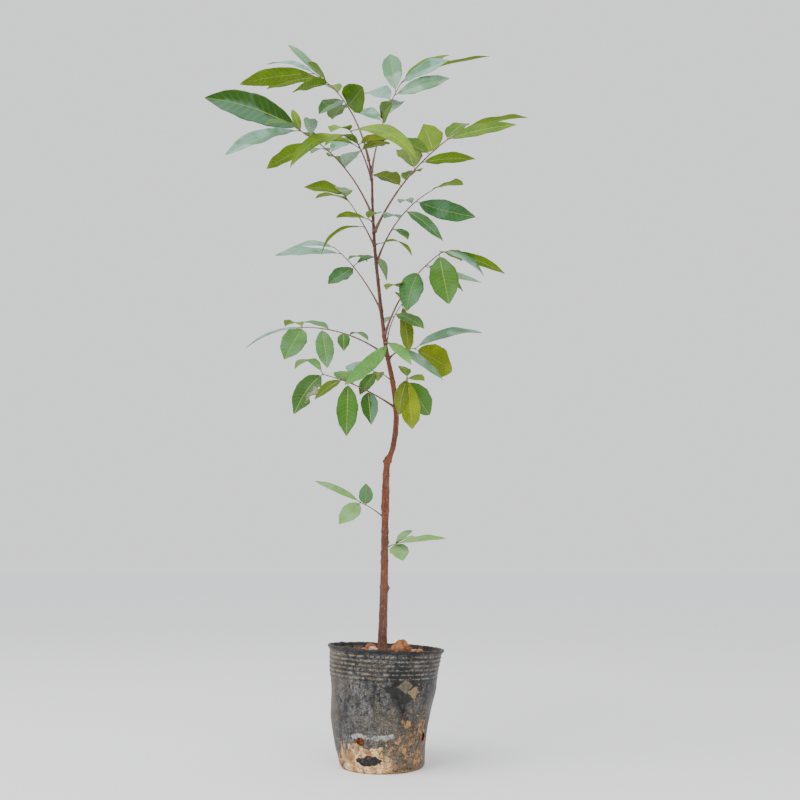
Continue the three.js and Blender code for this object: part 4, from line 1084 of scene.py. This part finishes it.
for name, at, end, arch, thick, seed, leaflets in SPRAYS:
    draw = seeded(seed)
    chance = random.Random(seed)
    foot = trunk_middle(at)
    stem = arched(foot, seen(end), arch, UPRIGHT)
    long = (seen(end) - foot).length
    twigs = bmesh.new()
    twigs.verts.layers.float.new("rib")
    blades = bmesh.new()
    add_stalk(twigs, stem, lambda share: stem_radius(share, thick, long), *STEM_RUN)
    looks = list(dict.fromkeys(leaf[6] for leaf in leaflets))
    for start, right, up, back, wide, face, look, *bend in leaflets:
        stalk_foot = stem(start * STEM_LAST_NODE)
        line, frame_at = leaflet_rule(stalk_foot, (right, up, back), wide, face, draw, *bend)
        add_blade(blades, wide, look == "harmed", frame_at, 2 * looks.index(look), chance)
        add_stalk(twigs, line, stalk_radius, *STALK_RUN)

        def under_blade(share):
            _, _, up, _, half = frame_at(share)
            return -up * (KEEL * min(half, wide) + RIB_DEPTH)
        add_stalk(twigs, line, rib_radius, *RIB_RUN, under_blade, RIB_GREENNESS)
    twig = finished(twigs, name + "_twigs", stalk_brown)
    spray = finished(blades, name + "_leaves", *[side for look in looks for side in leaf_finishes[look]])
    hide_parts(name)
    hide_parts(name)
bpy.data.meshes.remove(blank_mesh)

# The setting: a plain pale floor under a pale sky, with two wide soft lamps, one above to the left
# and one behind the viewer. The camera stands low, 1.3 m away, and looks up at the whole plant.
CAMERA_TILT = 10.3
PICTURE_WIDTH = 800
FOCAL_PIXELS = 902.5
SENSOR_WIDTH = 36
FLOOR_RADIUS = 30
AIM = Vector((0, 0, 0.5))
SKY_COLOUR = (0.92, 0.93, 0.95, 1)
SKY_STRENGTH = 1.25
# Each lamp: its name, its place and its size in metres, and its power in watts.
LAMPS = [("lamp_above", (-1.1, -0.9, 2.6), 1.8, 62), ("lamp_front", (1.4, -2.2, 1.2), 1.6, 22)]
floor_paper, floor_shader, spot = finish_of("floor_paper", 0.9, 0.1)
away = node("VectorMath", {0: spot}, operation="LENGTH").outputs["Value"]
colour = mixed(speckle(spot, 3, 3), (0.86, 0.86, 0.86), (0.9, 0.9, 0.9))
colour = mixed(stepped(away, 1, 6), colour, (0.965, 0.97, 0.98))
shaded(floor_shader, colour)
floor_skin = bmesh.new()
bmesh.ops.create_circle(floor_skin, cap_ends=True, segments=64, radius=FLOOR_RADIUS)
floor_mesh = bpy.data.meshes.new("floor")
floor_skin.to_mesh(floor_mesh)
floor_skin.free()
floor_mesh.materials.append(floor_paper)
floor = placed("floor", floor_mesh)

sky = bpy.data.worlds.new("pale_sky")
sky.use_nodes = True
background = sky.node_tree.nodes["Background"].inputs
background["Color"].default_value = SKY_COLOUR
background["Strength"].default_value = SKY_STRENGTH
bpy.context.scene.world = sky
for name, place, size, power in LAMPS:
    light = bpy.data.lights.new(name, "AREA")
    light.size = size
    light.energy = power
    lamp = placed(name, light)
    lamp.location = place
    lamp.rotation_euler = (AIM - Vector(place)).to_track_quat("-Z", "Y").to_euler()

view = bpy.data.cameras.new("camera")
view.sensor_width = SENSOR_WIDTH
view.lens = SENSOR_WIDTH * FOCAL_PIXELS / PICTURE_WIDTH
camera = placed("camera", view)
camera.location = EYE * MM
camera.rotation_euler = (math.radians(90 + CAMERA_TILT), 0, 0)
bpy.context.scene.camera = camera
